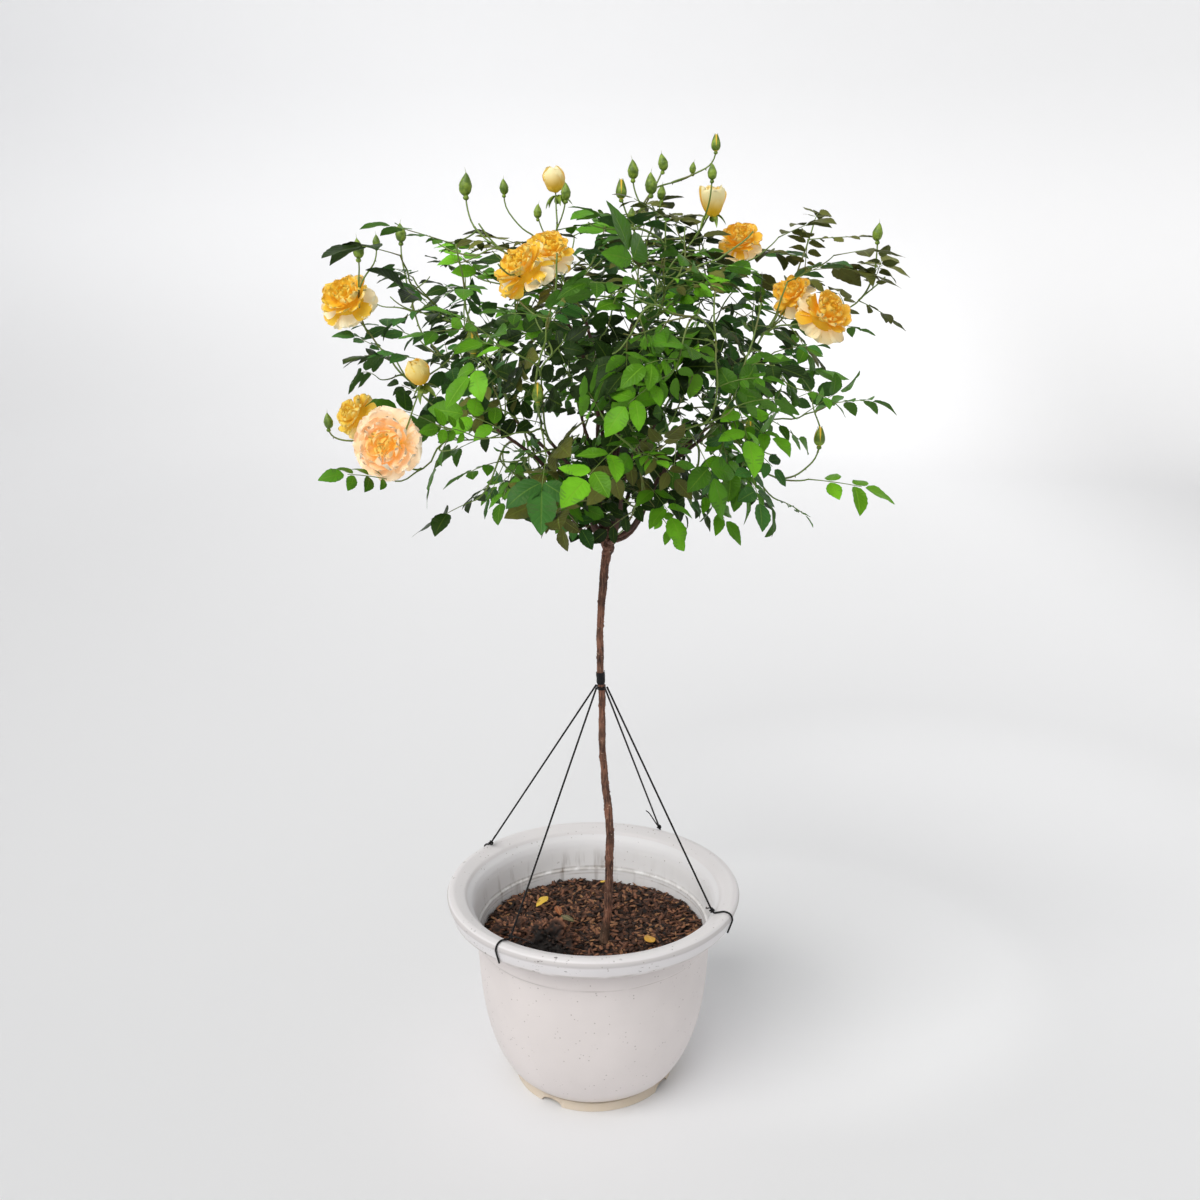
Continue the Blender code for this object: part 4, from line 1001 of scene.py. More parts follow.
def pot_profile():
    """Radius and height from the middle of the floor up the inside, over the rim and down the outside
    to the middle of the underside."""
    floor = FOOT_HEIGHT + WALL
    inner = np.linspace(floor + 0.004, LEDGE_HEIGHT - 0.006, 22)
    outer = np.linspace(COLLAR_HEIGHT - 0.006, FOOT_HEIGHT + 0.0015, 40)
    inside = [(0.002, floor), (bowl_radius(floor) - WALL - 0.006, floor)]
    inside += [(bowl_radius(z) - WALL, z) for z in inner]
    inside += [
        (COLLAR_RADIUS - LEDGE_WIDTH, LEDGE_HEIGHT - 0.001), (COLLAR_RADIUS - WALL - 0.001, LEDGE_HEIGHT)]
    inside += [(0.1683, 0.25), (0.1696, 0.262), (0.1716, 0.2705), (0.175, 0.2775)]
    rim = softened(inside[-7:] + rim_profile() + [
        (RIM_RADIUS - 0.011, LIP_LOW), (RIM_RADIUS - 0.017, LIP_LOW + 0.01),
        (COLLAR_RADIUS + 0.006, LIP_LOW + 0.006), (COLLAR_RADIUS, LIP_LOW - 0.003),
        (COLLAR_RADIUS - 0.001, COLLAR_HEIGHT + 0.002), (COLLAR_RADIUS - COLLAR_STEP, COLLAR_HEIGHT - 0.002),
        (bowl_radius(outer[0]), outer[0])], 0.0028, 5)
    bowl = np.array([(bowl_radius(z), z) for z in outer[1:]])
    foot = softened([
        (BOWL_FOOT_RADIUS, FOOT_HEIGHT + 0.001), (BOWL_FOOT_RADIUS + 0.0005, FOOT_HEIGHT - 0.0004),
        (FOOT_RADIUS - 0.0035, FOOT_HEIGHT - 0.001),
        (FOOT_RADIUS, 0.0), (FOOT_RADIUS - NOTCH_REACH * 0.33, 0.0)], 0.0012, 4)
    under = np.array([(FOOT_RADIUS - NOTCH_REACH * share, 0.0) for share in (0.66, 0.995)]
                     + [(FOOT_RADIUS - NOTCH_REACH - 0.0004, 0.0), (0.002, 0.0)])
    return np.concatenate((inside[:-7], rim, bowl, foot, under))


def make_pot_shape():
    """The profile carried round Z: (r cos a, r sin a, z). Outside the notches' inner ends the foot is
    raised to their arches, 0.55 * sqrt(w^2 - x^2), where w is half a notch's width and x its chord."""
    centres = np.radians(NOTCH_AZIMUTH + 90.0 * np.arange(4))
    half = NOTCH_WIDTH / 2
    local = np.sin(np.linspace(-1, 1, 13) * np.pi / 2) * half / FOOT_RADIUS
    even = np.linspace(0, 2 * np.pi, 192, endpoint=False)
    angles = np.concatenate((even, *(middle + local for middle in centres)))
    angles = np.unique(np.round(angles % (2 * np.pi), 4))
    profile = pot_profile()
    radius, height = profile[:, 0], profile[:, 1]
    x = np.abs((angles[:, None] - centres + np.pi) % (2 * np.pi) - np.pi).min(1) * FOOT_RADIUS
    arch = NOTCH_ARCH * np.sqrt(np.maximum(half**2 - x**2, 0.0))
    low = (np.arange(len(height)) > len(height) // 2) & (radius > FOOT_RADIUS - NOTCH_REACH - 0.0002)
    low &= height < FOOT_HEIGHT - 0.0008
    z = np.where(low[:, None], np.maximum(height[:, None], arch), height[:, None])
    points = np.stack((radius[:, None] * np.cos(angles), radius[:, None] * np.sin(angles), z), -1)
    wobble = rough(points * (1, 1, 0.4), 0.12, 3) * 0.00025 * (radius[:, None] > 0.05)
    points = points + unit(points * (1, 1, 0)) * wobble[..., None]
    # The inside rows carry a shade of 1, which the pot's finish pales with painted sky light and streaks with
    # dirt.
    inside = (np.arange(len(height)) < np.argmax(height)) & (radius < RIM_INNER_RADIUS + 0.001)
    return surface(points[None], inside[None].astype(float))


def mulch_height(x, y):
    """Height of the mulch: two waves round the trunk, 3 mm * (sin(3a + 40d) + 0.6 sin(5a - 70d + 1)),
    and the heap of clods, both growing with the distance d from the trunk's seat; it falls off by
    7 mm * (r / 160 mm)^6 to the wall."""
    away = np.hypot(x - TRUNK_FOOT[0], y - TRUNK_FOOT[1])
    angle = np.arctan2(y, x)
    wave = np.sin(3 * angle + 40 * away) + 0.6 * np.sin(5 * angle - 70 * away + 1.0)
    heap = CLODS_HEIGHT * np.exp(-((x - CLODS[0]) ** 2 + (y - CLODS[1]) ** 2) / CLODS_SPREAD**2)
    share = np.clip((away - TRUNK_SEAT_RADIUS) / TRUNK_SEAT_BLEND, 0.0, 1.0)
    return MULCH_HEIGHT + share * (MULCH_HUMP * wave + heap * 0.5) - 0.007 * (np.hypot(x, y) / 0.16) ** 6


def make_mulch_bed():
    """A polar grid on the mulch's height with crumbs of two sizes, and a plug down inside the pot. It is
    darker in the hollows, painted shade, and lighter on the crumbs, painted highlight.
    """
    angles = -np.linspace(0, 2 * np.pi, 240, endpoint=False)
    edge = bowl_radius(MULCH_HEIGHT) - WALL - 0.0006
    radii = np.concatenate((np.full(3, edge - 0.001), edge * np.linspace(1, 0, 90, endpoint=False) ** 0.8))
    x, y = radii[:, None] * np.cos(angles), radii[:, None] * np.sin(angles)
    flat = np.stack((x, y, 0 * x), -1)
    crumbs = rough(flat, 0.011, 5) * 0.0013 + np.abs(rough(flat, 0.0045, 6)) * 0.0011
    z = mulch_height(x, y) + crumbs - 0.0012
    # Painted shade and highlight: the bed is darker in its hollows and lighter on its crumbs.
    shade = np.clip(0.05 + crumbs * 120.0, 0.0, 0.5)
    z[:3] = np.array((0.15, 0.18, 0.205))[:, None]
    shrink = (bowl_radius(z[:3]) - WALL - 0.0008) / radii[:3, None]
    x[:3] *= shrink
    y[:3] *= shrink
    points = np.stack((x, y, z), -1)
    return surface(points[None], shade[None])


def make_chips(rng, count):
    """Slivers of bark on the bed and the clods: four-sided bodies, narrower at both ends, flattened and
    bent by 0.25 - s^2 of their share s from the middle, whose way is level but for a small tilt."""
    spread = bowl_radius(MULCH_HEIGHT) - WALL - 0.004
    angle, reach = rng.uniform(0, 2 * np.pi, count), spread * rng.uniform(0, 1, count) ** 0.5
    x, y = reach * np.cos(angle), reach * np.sin(angle)
    free = np.hypot(x - TRUNK_FOOT[0], y - TRUNK_FOOT[1]) > 0.0085
    x, y, count = x[free], y[free], free.sum()
    length = rng.uniform(0.007, 0.0145, count) * rng.choice((1.0, 1.5), count, p=(0.95, 0.05))
    way, tilt = rng.uniform(0, 2 * np.pi, count), rng.normal(0, 0.33, count)
    along = np.stack((np.cos(way) * np.cos(tilt), np.sin(way) * np.cos(tilt), np.sin(tilt)), -1)
    middle = np.stack((x, y, mulch_height(x, y) + rng.uniform(-0.0012, 0.0042, count)), -1)
    clod = rng.integers(0, len(CLOD_RADII), CLOD_CHIPS)
    on = unit(rng.normal(size=(CLOD_CHIPS, 3)) + (0, 0, 0.6)) * (1, 1, 0.7)
    middle[:CLOD_CHIPS] = np.array(CLOD_MIDDLES)[clod] + on * np.array(CLOD_RADII)[clod][:, None] * 1.02
    steps = np.array((-0.5, -0.3, 0.25, 0.5))
    bend = rng.normal(0, 0.04, (count, 1)) * length[:, None]
    side = unit(np.cross(along, (0.0, 0.0, 1.0)))
    paths = (middle[:, None] + along[:, None] * (steps * length[:, None])[..., None]
             + side[:, None] * (bend * (0.25 - steps**2) * 4)[..., None])
    radii = np.array((0.45, 1.0, 0.9, 0.35)) * (rng.uniform(0.0013, 0.0035, count))[:, None]
    points = rings(paths, radii, 4)[0]
    thin = rng.uniform(0.25, 0.6, (count, 1, 1, 1))
    up = unit(np.cross(side, along))[:, None, None]
    high = ((points - paths[:, :, None]) * up).sum(-1, keepdims=True)
    points = points - up * high * (1 - thin)
    shade = np.clip(rng.normal(0.5, 0.29, count), 0.04, 0.93)
    shade = np.where(rng.uniform(0, 1, count) < 0.06, rng.uniform(0.9, 1.0, count), shade)
    return surface(points, shade)


def lumps(middles, radii, flatness, depth, seed, sides, rows, shade):
    """Lumpy balls: middle + r (1 + depth * noise) * (cos a sin b, sin a sin b, flatness * cos b), with
    noise of three sizes; the finer two also make the shade lighter on the bumps and darker in the hollows,
    painted highlight and painted shade."""
    b = np.linspace(np.pi * 0.97, np.pi * 0.03, rows)[:, None]
    a = -np.linspace(0, 2 * np.pi, sides, endpoint=False)
    ball = np.stack((np.cos(a) * np.sin(b), np.sin(a) * np.sin(b), np.cos(b) + 0 * a), -1)
    middles, size = np.asarray(middles)[:, None, None], np.asarray(radii)[:, None, None]
    spots = middles + ball * size[..., None]
    fine = rough(spots, 0.007, seed + 1) * 0.32 + rough(spots, 0.0032, seed + 2) * 0.15
    swell = 1 + depth * (rough(spots, 0.02, seed) * 0.5 + fine)
    # Painted shade and highlight: darker in the hollows, lighter on the bumps.
    shade = np.clip(np.reshape(shade, (-1, 1, 1)) + fine * 0.75, 0.0, 1.0)
    return surface(middles + ball * (size * swell)[..., None] * (1, 1, flatness), shade)


def fallen_leaves():
    """Five fallen leaves, each a curled sheet: place, azimuth of its length, length, width, curl, shade."""
    rows = (
        ((-0.07, 0.07, 0.236), 235, 0.028, 0.5, 0.7, 0.02),
        ((-0.054, 0.016, 0.25), 285, 0.025, 0.42, 0.5, 0.62),
        ((0.084, -0.06, 0.235), 110, 0.028, 0.55, 0.6, 0.28),
        ((0.01, 0.128, 0.229), 30, 0.016, 0.4, 0.7, 0.0),
        ((-0.046, -0.012, 0.25), 320, 0.024, 0.55, 0.4, 1.0),
    )
    spot, azimuth, length, width, curl, shade = (column(rows, i) for i in range(6))
    along = around(np.radians(azimuth), 0.15)
    face = unit(np.cross(along, along[:, (1, 0, 2)] * (-1, 1, 0)))
    return leaf_sheets(spot, unit(along), face, length, width, curl, -curl * 0.3, shade)


def make_trunk_shape():
    """The stem's path eased through its rows, with rings of radius r (1 + relief): noise drawn out along
    the stem, cracks where it is low, a swelling at each node, and knobs on the swollen head."""
    path = eased(TRUNK_PATH, 520)
    path[0, 2] -= 0.0015
    middle, radius = path[:, :3].copy(), path[:, 3].copy()
    z = middle[:, 2]
    free = np.clip((z - 0.24) / 0.05, 0, 1) * np.clip((0.79 - z) / 0.05, 0, 1)
    node = np.abs(((z + 0.004 * np.sin(z * 61)) / 0.037) % 1.0 - 0.5) * 2.0
    swell = np.clip(1 - node / 0.16, 0, 1) ** 2 * free
    side = np.where(((z / 0.037).astype(int) % 2) == 0, 1.0, -1.0)
    middle[:, 0] += rough(middle * (0, 0, 1), 0.06, 21) * 0.0005 * free + swell * side * 0.0005
    middle[:, 1] += rough(middle * (0, 0, 1), 0.07, 22) * 0.0005 * free
    radius = (radius + STEM_BARK * free * np.clip((0.5 - z) / 0.14, 0, 1)) * (1 + 0.17 * swell)
    band = (z > BAND_LOW - 0.004) & (z < BAND_LOW + BAND_HEIGHT + 0.004)
    points, out = rings(middle[None], radius[None], 32)
    ridge = rough(points * (1, 1, 0.16), 0.0052, 23, 30) * 0.034 + rough(points, 0.0032, 24, 30) * 0.03
    crack = np.minimum(rough(points * (1, 1, 0.22), 0.0065, 25, 30) + 0.6, 0.0) * 0.09
    knob = rough(points, 0.011, 26) * 0.13 * np.clip((z - 0.775) / 0.02, 0, 1)[:, None]
    knob = knob + rough(points, 0.013, 27) * 0.07 * np.clip((0.245 - z) / 0.02, 0, 1)[:, None]
    relief = (ridge + crack + knob) * np.where(band, 0.3, 1.0)[:, None]
    points = points + out * (radius[:, None] * relief)[..., None]
    return surface(points)


def stem_stubs():
    """Short blunt snags and scars up the stem, each a cone on its side that points up and out."""
    heights = np.array((0.286, 0.322, 0.371, 0.402, 0.447, 0.498, 0.531, 0.566, 0.655, 0.692, 0.735, 0.768))
    path = eased(TRUNK_PATH, 520)
    rows = np.searchsorted(path[:, 2], heights)
    angle = np.radians(160 + 137.5 * np.arange(len(heights)))
    out = around(angle, 0.55)
    foot = path[rows, :3] + out * (path[rows, 3] * 0.55)[:, None]
    reach = (0.0026 + 0.0012 * np.sin(heights * 400))[:, None, None]
    paths = foot[:, None] + out[:, None] * (np.array((0.0, 0.5, 0.85, 1.0))[:, None] * reach)
    radii = np.array((0.0021, 0.0016, 0.0012, 0.0005)) * np.ones((len(heights), 1))
    return tubes(paths, radii, 9)


def trunk_at(height):
    """Middle and radius of the stem at a height, straight between its rows."""
    rows = np.array(TRUNK_PATH)
    return np.array([np.interp(height, rows[:, 2], rows[:, i]) for i in (0, 1, 3)])


def make_tape():
    """A little over two and a half turns of creased tape that climb slowly, each over the last, and a
    free end that lifts off; a closed sheet whose rows run round the stem."""
    turns, rows, cols = 2.6, 150, 9
    share = np.linspace(0, 1, rows)[:, None]
    angle = np.radians(200) + share * turns * 2 * np.pi
    across = np.linspace(-0.5, 0.5, cols)
    z = BAND_LOW + BAND_HEIGHT / 2 + (share - 0.5) * 0.0035 + across * (BAND_HEIGHT - 0.004)
    x, y, radius = trunk_at(z)
    lift = np.clip((share - 0.95) / 0.05, 0, 1) ** 1.5 * 0.003
    out = around(angle + 0 * z)
    crease = rough(out * 0.01 + z[..., None] * (0, 0, 0.7), 0.006, 31) * 0.00011
    radius = radius + 0.0005 + share * turns * 0.00032 + lift + crease
    upper = np.stack((x, y, z), -1) + out * radius[..., None]
    return sheets(upper[None, ::-1, ::-1], out[None, ::-1, ::-1], 0.00028)


def cord_route(azimuth_deg):
    """The source's route: from the band straight to the rim's inner edge, then over the rim to the low
    edge of its lip, lifted off it by the cord's radius."""
    out = np.array(facing(azimuth_deg, 0.0))
    lift = CORD_RADIUS + 2 * GAP
    over = []
    rim = rim_profile()
    for before, here, after in zip(rim, rim[1:], rim[2:] + rim[-1:]):
        along = unit(np.array((after[0] - before[0], after[1] - before[1])))
        over.append(out * (here[0] - along[1] * lift) + np.array((0, 0, here[1] + along[0] * lift)))
    x, y, _ = trunk_at(CORD_TOP)
    heading = unit((over[0] - (x, y, 0.0)) * (1, 1, 0))
    inner = trunk_at(BAND_LOW + BAND_HEIGHT / 2)[2] + 2 * GAP + 0.0016
    start = np.array((x, y, 0.0)) + heading * (inner + CORD_RADIUS + GAP)
    start[2] = CORD_TOP
    return np.array([start] + over)


def knot(middle, heading, seed):
    """A tight overhand knot: the closed line ((2 + cos 3t) cos 2t, (2 + cos 3t) sin 2t, 1.5 sin 3t),
    turned to the cord's heading."""
    t = np.linspace(0, 2 * np.pi, 40) + seed
    line = around(2 * t) * (2 + np.cos(3 * t))[:, None] + np.sin(3 * t)[:, None] * (0, 0, 1.5)
    line = line * 0.00105
    turn = np.array(UP.rotation_difference(Vector(heading)).to_matrix())
    return tubes((middle + line @ turn.T)[None], np.full((1, 40), 0.001), 8)


def make_cord(azimuth_deg, knot_row, tail):
    """The taut cord, straight to the knot at the given row of its route, softened from there over the
    rim, and a short tail that lies on the rim's slope."""
    route = np.delete(cord_route(azimuth_deg), range(1, knot_row), 0)
    run = route[:1] + (route[1] - route[0]) * np.linspace(0, 0.96, 40)[:, None]
    bent = np.concatenate((run, softened(route, 0.004, 5, 0.45)[1:]))
    heading = unit(route[1] - route[0])
    at_rim = route[1] - heading * 0.004
    out = np.array(facing(azimuth_deg, 0.0))
    side = np.cross(out, (0, 0, 1.0))
    end = at_rim + side * tail[0] + out * tail[1] + np.array((0, 0, tail[2]))
    handle = side * tail[0] * 0.3
    lay = cubic([(at_rim, at_rim + handle + (0, 0, 0.004), end - handle, end)], 16)
    return [tubes(bent[None], np.full((1, len(bent)), CORD_RADIUS), 10), knot(at_rim, heading, azimuth_deg),
            tubes(lay, np.linspace(0.00105, 0.0008, 16)[None], 8)]


def make_collar_loop():
    """The cords' shared loop: two turns of cord round the stem just under the tape."""
    angle = np.linspace(0, 4.3 * np.pi, 90)
    z = CORD_TOP + 0.0012 - angle / (4.3 * np.pi) * 0.0052
    x, y, radius = trunk_at(z)
    path = np.stack((x, y, z), -1) + around(angle) * (radius + 0.0011)[:, None]
    return tubes(path[None], np.full((1, 90), 0.0009), 8)


# Boughs, twigs and leaves

SPRAY_STEP = 0.023
SPRAY_START = 0.22
SIDE_LEAD = 0.45
TIP_LEAD = 2.2
LEAF_TRIES = 6
TRY_TURN = 1.1
STEEPEST = 0.4
LEVEL_FROM = 1.13
BOUGH_BARE = 0.018
BOUGH_STEP = 0.022
LOWEST_LEAF = 0.815
LEAF_CEILING = (
    (-0.33, 1.15), (-0.28, 1.19), (-0.05, 1.2), (0.02, 1.222), (0.12, 1.235), (0.22, 1.232),
    (0.29, 1.262), (0.34, 1.205), (0.4, 1.175),
)
GOLDEN_TURN = math.radians(137.5)
BRIGHT_SPRAYS = (       # middles of the young bright sprays and how far each reaches
    ((0.01, -0.3, 1.029), 0.046), ((-0.019, -0.28, 0.92), 0.04), ((0.064, -0.28, 0.956), 0.04),
    ((-0.014, -0.25, 1.07), 0.034), ((-0.105, -0.23, 1.03), 0.032), ((0.262, -0.135, 0.905), 0.04),
    ((-0.18, -0.15, 1.01), 0.03), ((0.11, -0.2, 1.09), 0.028), ((0.06, -0.11, 1.17), 0.03),
)


def wander(paths, size, seed):
    """A smooth irregular value for each of a point's three parts."""
    return np.stack([rough(paths, size, seed + i) for i in range(3)], -1)


def bough_shapes():
    """Each bough with the stem of its mass: its cubic, then straight on, with rings of radius
    r (1 + noise), swollen where it leaves the head."""
    masses, _ = grown_crown()
    bent = cubic([mass.controls for mass in masses], 34)
    tips = np.array([mass.entry + mass.heading * STEM_LENGTH for mass in masses])
    run = np.linspace(0, 1, 15)[1:, None]
    straight = bent[:, -1:] * (1 - run) + tips[:, None] * run
    inward = bent[:, :1] - unit(bent[:, 1:2] - bent[:, :1]) * 0.0035
    paths = np.concatenate((inward, bent, straight), 1)
    share = np.linspace(0, 1, paths.shape[1])
    radii = BOUGH_BASE + (BOUGH_TIP * 0.8 - BOUGH_BASE) * share + 0.0016 * np.exp(-share / 0.03)
    node = np.abs((share * 6.0 + 0.3) % 1.0 - 0.5) * 2
    radii = radii * (1 + 0.16 * np.clip(1 - node / 0.2, 0, 1) ** 2)
    paths = paths + wander(paths, 0.05, 40) * 0.0007 * np.sin(np.pi * share)[:, None]
    points, out = rings(paths, np.broadcast_to(radii, paths.shape[:2]), 12)
    relief = rough(points, 0.006, 44) * 0.05 + rough(points, 0.003, 45) * 0.03
    return [surface(points + out * (radii[:, None] * relief)[..., None], 0.9)]


def twig_shapes():
    """Every twig as a fine tube along its cubic that starts inside its parent, swollen at its leaf
    joints; its shade falls from its age at the base to green at the tip. Hooked prickles stand on it."""
    masses, _ = grown_crown()
    twigs = [twig for mass in masses for twig in mass.twigs]
    paths = cubic([twig.controls for twig in twigs], 15)
    share = np.linspace(0, 1, 15)
    base = np.array([max(twig.radii) for twig in twigs])[:, None]
    tip = np.array([FINE_TIP if twig.age else TWIG_TIP * 0.8 for twig in twigs])[:, None]
    length = np.array([twig.length for twig in twigs])[:, None]
    radii = base * 0.92 + (tip - base * 0.92) * share**0.75
    paths = paths + wander(paths, 0.045, 50) * (0.01 * length * np.sin(np.pi * share))[..., None]
    thick = np.clip((base - 0.0012) / 0.0016, 0.0, 1.0)
    shade = np.clip(thick * 1.1 - share * 0.75 + 0.12, 0.0, 1.0)
    rng = np.random.default_rng(61)
    which = rng.integers(0, len(twigs), PRICKLES)
    row = rng.integers(2, 12, PRICKLES)
    place, heading = paths[which, row], unit(paths[which, row + 1] - paths[which, row])
    out = unit(np.cross(heading, rng.normal(size=(PRICKLES, 3))))
    steps = np.array((0.5, 1.6, 3.2))[:, None]
    thorn = place[:, None] + out[:, None] * (radii[which, row][:, None, None] * 0.4 + steps * 0.0008)
    thorn = thorn - heading[:, None] * (steps**1.6 * 0.00016)
    thorns = tubes(thorn, np.array((0.001, 0.0005, 0.00008)) * np.ones((PRICKLES, 1)), 4, 0.65)
    return [tubes(paths, radii, 6, shade), thorns]


def leaf_sheets(root, along, face, length, width, curl, fold, shade, rows=13):
    """Leaflets. With s from 0 at the root to 1 at the tip and v from -1 to 1 across: the midrib turns
    from its way a towards -f by the curl k, l * (a sin(ks) - f (1 - cos(ks))) / k; its half width is
    l w/2 sin(pi s^0.8)^0.7 (1 - 0.4 s^5), toothed by every second row; a side rises by the fold and waves."""
    s, v = np.linspace(0, 1, rows), np.array((-1.0, 0.0, 1.0))
    length, width, curl, fold = (
        np.broadcast_to(part, len(root))[:, None] for part in (length, width, curl, fold))
    k = np.where(np.abs(curl) < 0.05, 0.05, curl)
    a, f = along[:, None], face[:, None]
    sine, cosine = np.sin(k * s)[..., None], np.cos(k * s)[..., None]
    rib = root[:, None] + (length / k)[..., None] * (a * sine - f * (1 - cosine))
    up = f * cosine + a * sine
    across = np.cross(up, a * cosine - f * sine)
    tooth = 1.0 + 0.035 * np.where(np.arange(rows) % 2, 1.0, -1.0)
    half = length * width / 2 * np.sin(np.pi * np.clip(s, 0.003, 0.997) ** 0.8) ** 0.7
    half = half * (1 - 0.4 * s**5) * tooth
    seed = (np.abs(root[:, :1] * 997.0) + np.abs(root[:, 2:] * 1499.0)) % (2 * np.pi)
    wave = 0.022 * length * np.sin(9.0 * s + seed) * np.sin(np.pi * s)
    rise = (fold * half)[..., None] * np.abs(v) + wave[..., None] * v
    rise = rise + (np.abs(wave) * 0.3)[..., None] * np.abs(v)
    upper = rib[:, :, None] + across[:, :, None] * (half[..., None] * v)[..., None]
    upper = upper + up[:, :, None] * rise[..., None]
    return sheets(upper, np.broadcast_to(up[:, :, None], upper.shape), 0.00026, shade)


class Leaves:
    """Leaflets and leaf stalks of one tint, gathered leaf by leaf."""

    def __init__(self):
        self.blades, self.stalks = [], []

    def shapes(self):
        rows = np.array(self.blades)
        return [leaf_sheets(rows[:, 0:3], rows[:, 3:6], rows[:, 6:9], *rows[:, 9:].T)]


def spray_way(place, heading, turn, lead, rng):
    """Length and face directions of a leaf: turned round its twig, held nearly level, looking out."""
    side = heading.cross(UP)
    if side.length < 0.1:
        side = Vector((1.0, 0.0, 0.0))
    side = Matrix.Rotation(turn, 3, heading) @ side.normalized()
    along = (heading * lead + side * 0.85 + UP * rng.uniform(-0.3, 0.2)).normalized()
    along.z = min(along.z, STEEPEST)
    if place.z > LEVEL_FROM:
        along.z = along.z * 0.35 + 0.04
    along.normalize()
    out = Vector((place.x - HEAD.x, place.y - HEAD.y, 0.0))
    height = min(1.0, max(0.0, (place.z - 0.95) / 0.22))
    face = UP * (0.6 + 2.2 * height * height) + out.normalized() * (0.85 - 0.6 * height) + jitter(rng, 0.35)
    return along, (face - along * face.dot(along)).normalized()


def add_leaf(leaves, place, along, face, length, rng):
    """A compound leaf: its stalk p + a l t - z l d t^2 / 2 bends down, with one to three pairs of
    leaflets set at 52 to 72 degrees to it and one at its end, which hangs on from it."""
    across = face.cross(along)
    pairs = rng.choices((1, 2, 3), (0.16, 0.58, 0.26))[0]
    stalk = length * (0.42 + 0.09 * pairs)
    droop = rng.uniform(0.05, 0.45) * (0.4 if place.z > LEVEL_FROM else 1.0)
    sizes = (length - stalk) * rng.uniform(0.95, 1.12)

    def spot(t):
        return place + along * (stalk * t) - UP * (stalk * droop * t * t * 0.5)

    leaves.stalks.append([tuple(spot(t)) for t in (0.0, 0.25, 0.5, 0.75, 1.0)])
    tone = rng.uniform(0.0, 1.0)

    def blade(root, way, size):
        way = (way + jitter(rng, 0.12)).normalized()
        tilt = face + jitter(rng, 0.32)
        up = (tilt - way * tilt.dot(way)).normalized()
        curl, fold = rng.uniform(0.1, 0.8), rng.choice((-0.12, 0.1, 0.16, 0.28)) + rng.uniform(-0.05, 0.05)
        width, shade = rng.uniform(0.54, 0.68), min(1.0, tone * 0.35 + rng.random() * 0.65)
        leaves.blades.append((*root, *way, *up, size, width, curl, fold, shade))

    end = (along - UP * (droop + rng.uniform(-0.1, 0.2))).normalized()
    blade(spot(1.0) + end * 0.005, end, sizes)
    for pair in range(pairs):
        t = 1.0 - 0.14 - pair * (0.46 if pairs < 3 else 0.31)
        way = (along - UP * (droop * t)).normalized()
        for side in (-1.0, 1.0):
            angle = math.radians(rng.uniform(52, 72))
            aside = way * math.cos(angle) + across * (side * math.sin(angle)) - UP * rng.uniform(-0.05, 0.18)
            size = sizes * (0.86, 0.72, 0.58)[pair] * rng.uniform(0.88, 1.06)
            aside.normalize()
            blade(spot(t) + aside * 0.0022, aside, size)


def share_of_reach(spot):
    """How far out a spot lies: its distance from the stem's axis as a share of the crown's reach there."""
    return reach_of(spot) / max(crown_radius(min(spot.z, CROWN_TOP - 0.01)), 0.05)


def tint_of(spot, rng):
    """The tint of a spray by its place: bright ones in front; darker ones inside, painted shade; olive ones
    on top, painted shade and light shining through, as top leaves look from beneath against the light.
    """
    if any((spot - Vector(middle)).length < reach for middle, reach in BRIGHT_SPRAYS):
        return "lime"
    # Painted shade and light shining through: high sprays are mostly olive.
    if spot.z > 1.165:
        weights = (0.12, 0.05, 0.23, 0.16, 0.44)
    # Painted shade: sprays inside the crown are mostly deep.
    elif share_of_reach(spot) < 0.7 and spot.z < 1.09:
        weights = (0.66, 0.18, 0.12, 0.02, 0.02)
    elif abs(spot.x) > 0.24 and spot.z > 1.02:
        weights = (0.2, 0.08, 0.26, 0.16, 0.3)
    else:
        weights = (0.24, 0.18, 0.28, 0.24, 0.06)
    return rng.choices(("deep", "blue", "mid", "fresh", "olive"), weights)[0]


def hides_bloom(spot, margin):
    """True where a spot stands before a bloom as it is seen from the front, where it was looked at."""
    way = spot - FRONT
    for middle, diameter, *_ in BLOOMS:
        to_bloom = Vector(middle) - FRONT
        share = way.dot(to_bloom) / to_bloom.length_squared
        if share < 1.02 and (way - to_bloom * share).length < diameter * 0.46 + margin:
            return True
    return False


def ceiling(x):
    """Height of the highest leaves across the crown, which the photo shows in steps."""
    return float(np.interp(x, *zip(*LEAF_CEILING)))


def in_bounds(spot, proud):
    """True above the lowest and under the highest leaves and inside the frame's box or proud of it."""
    low, high = CAD_BOX
    return LOWEST_LEAF < spot.z < ceiling(spot.x) and all(
        low[i] - proud < spot[i] < high[i] + proud for i in range(3))


def fits(mass, limbs, heads, middle, tip):
    """True where a leaf stays in its mass and the bounds and clear of limbs, blooms and buds."""
    return (mass.room(tip) >= -0.012 and in_bounds(tip, 0.004) and in_bounds(middle, 0.0)
            and limbs.far(middle, 0.01) and limbs.far(tip, 0.008)
            and all((middle - head).length >= size + 0.016 and (tip - head).length >= size + 0.008
                    for head, size in heads)
            and not hides_bloom(middle, BLOOM_CLEAR) and not hides_bloom(tip, 0.004))


def clear_of(spot, others, least):
    """True where a spot keeps the least distance from all others."""
    return all((spot - other).length >= least for other in others)


def leaf_length(place, twig, tint, front, rng):
    """Seeded length: shorter on young twigs and low down, longer in bright sprays, in front and on top."""
    length = rng.uniform(0.066, 0.104) * (0.92 if twig.age else 1.0) * (0.82 if place.z < 0.885 else 1.0)
    return length * (1.22 if tint == "lime" else 1.1 if front or place.z > LEVEL_FROM else 1.0)


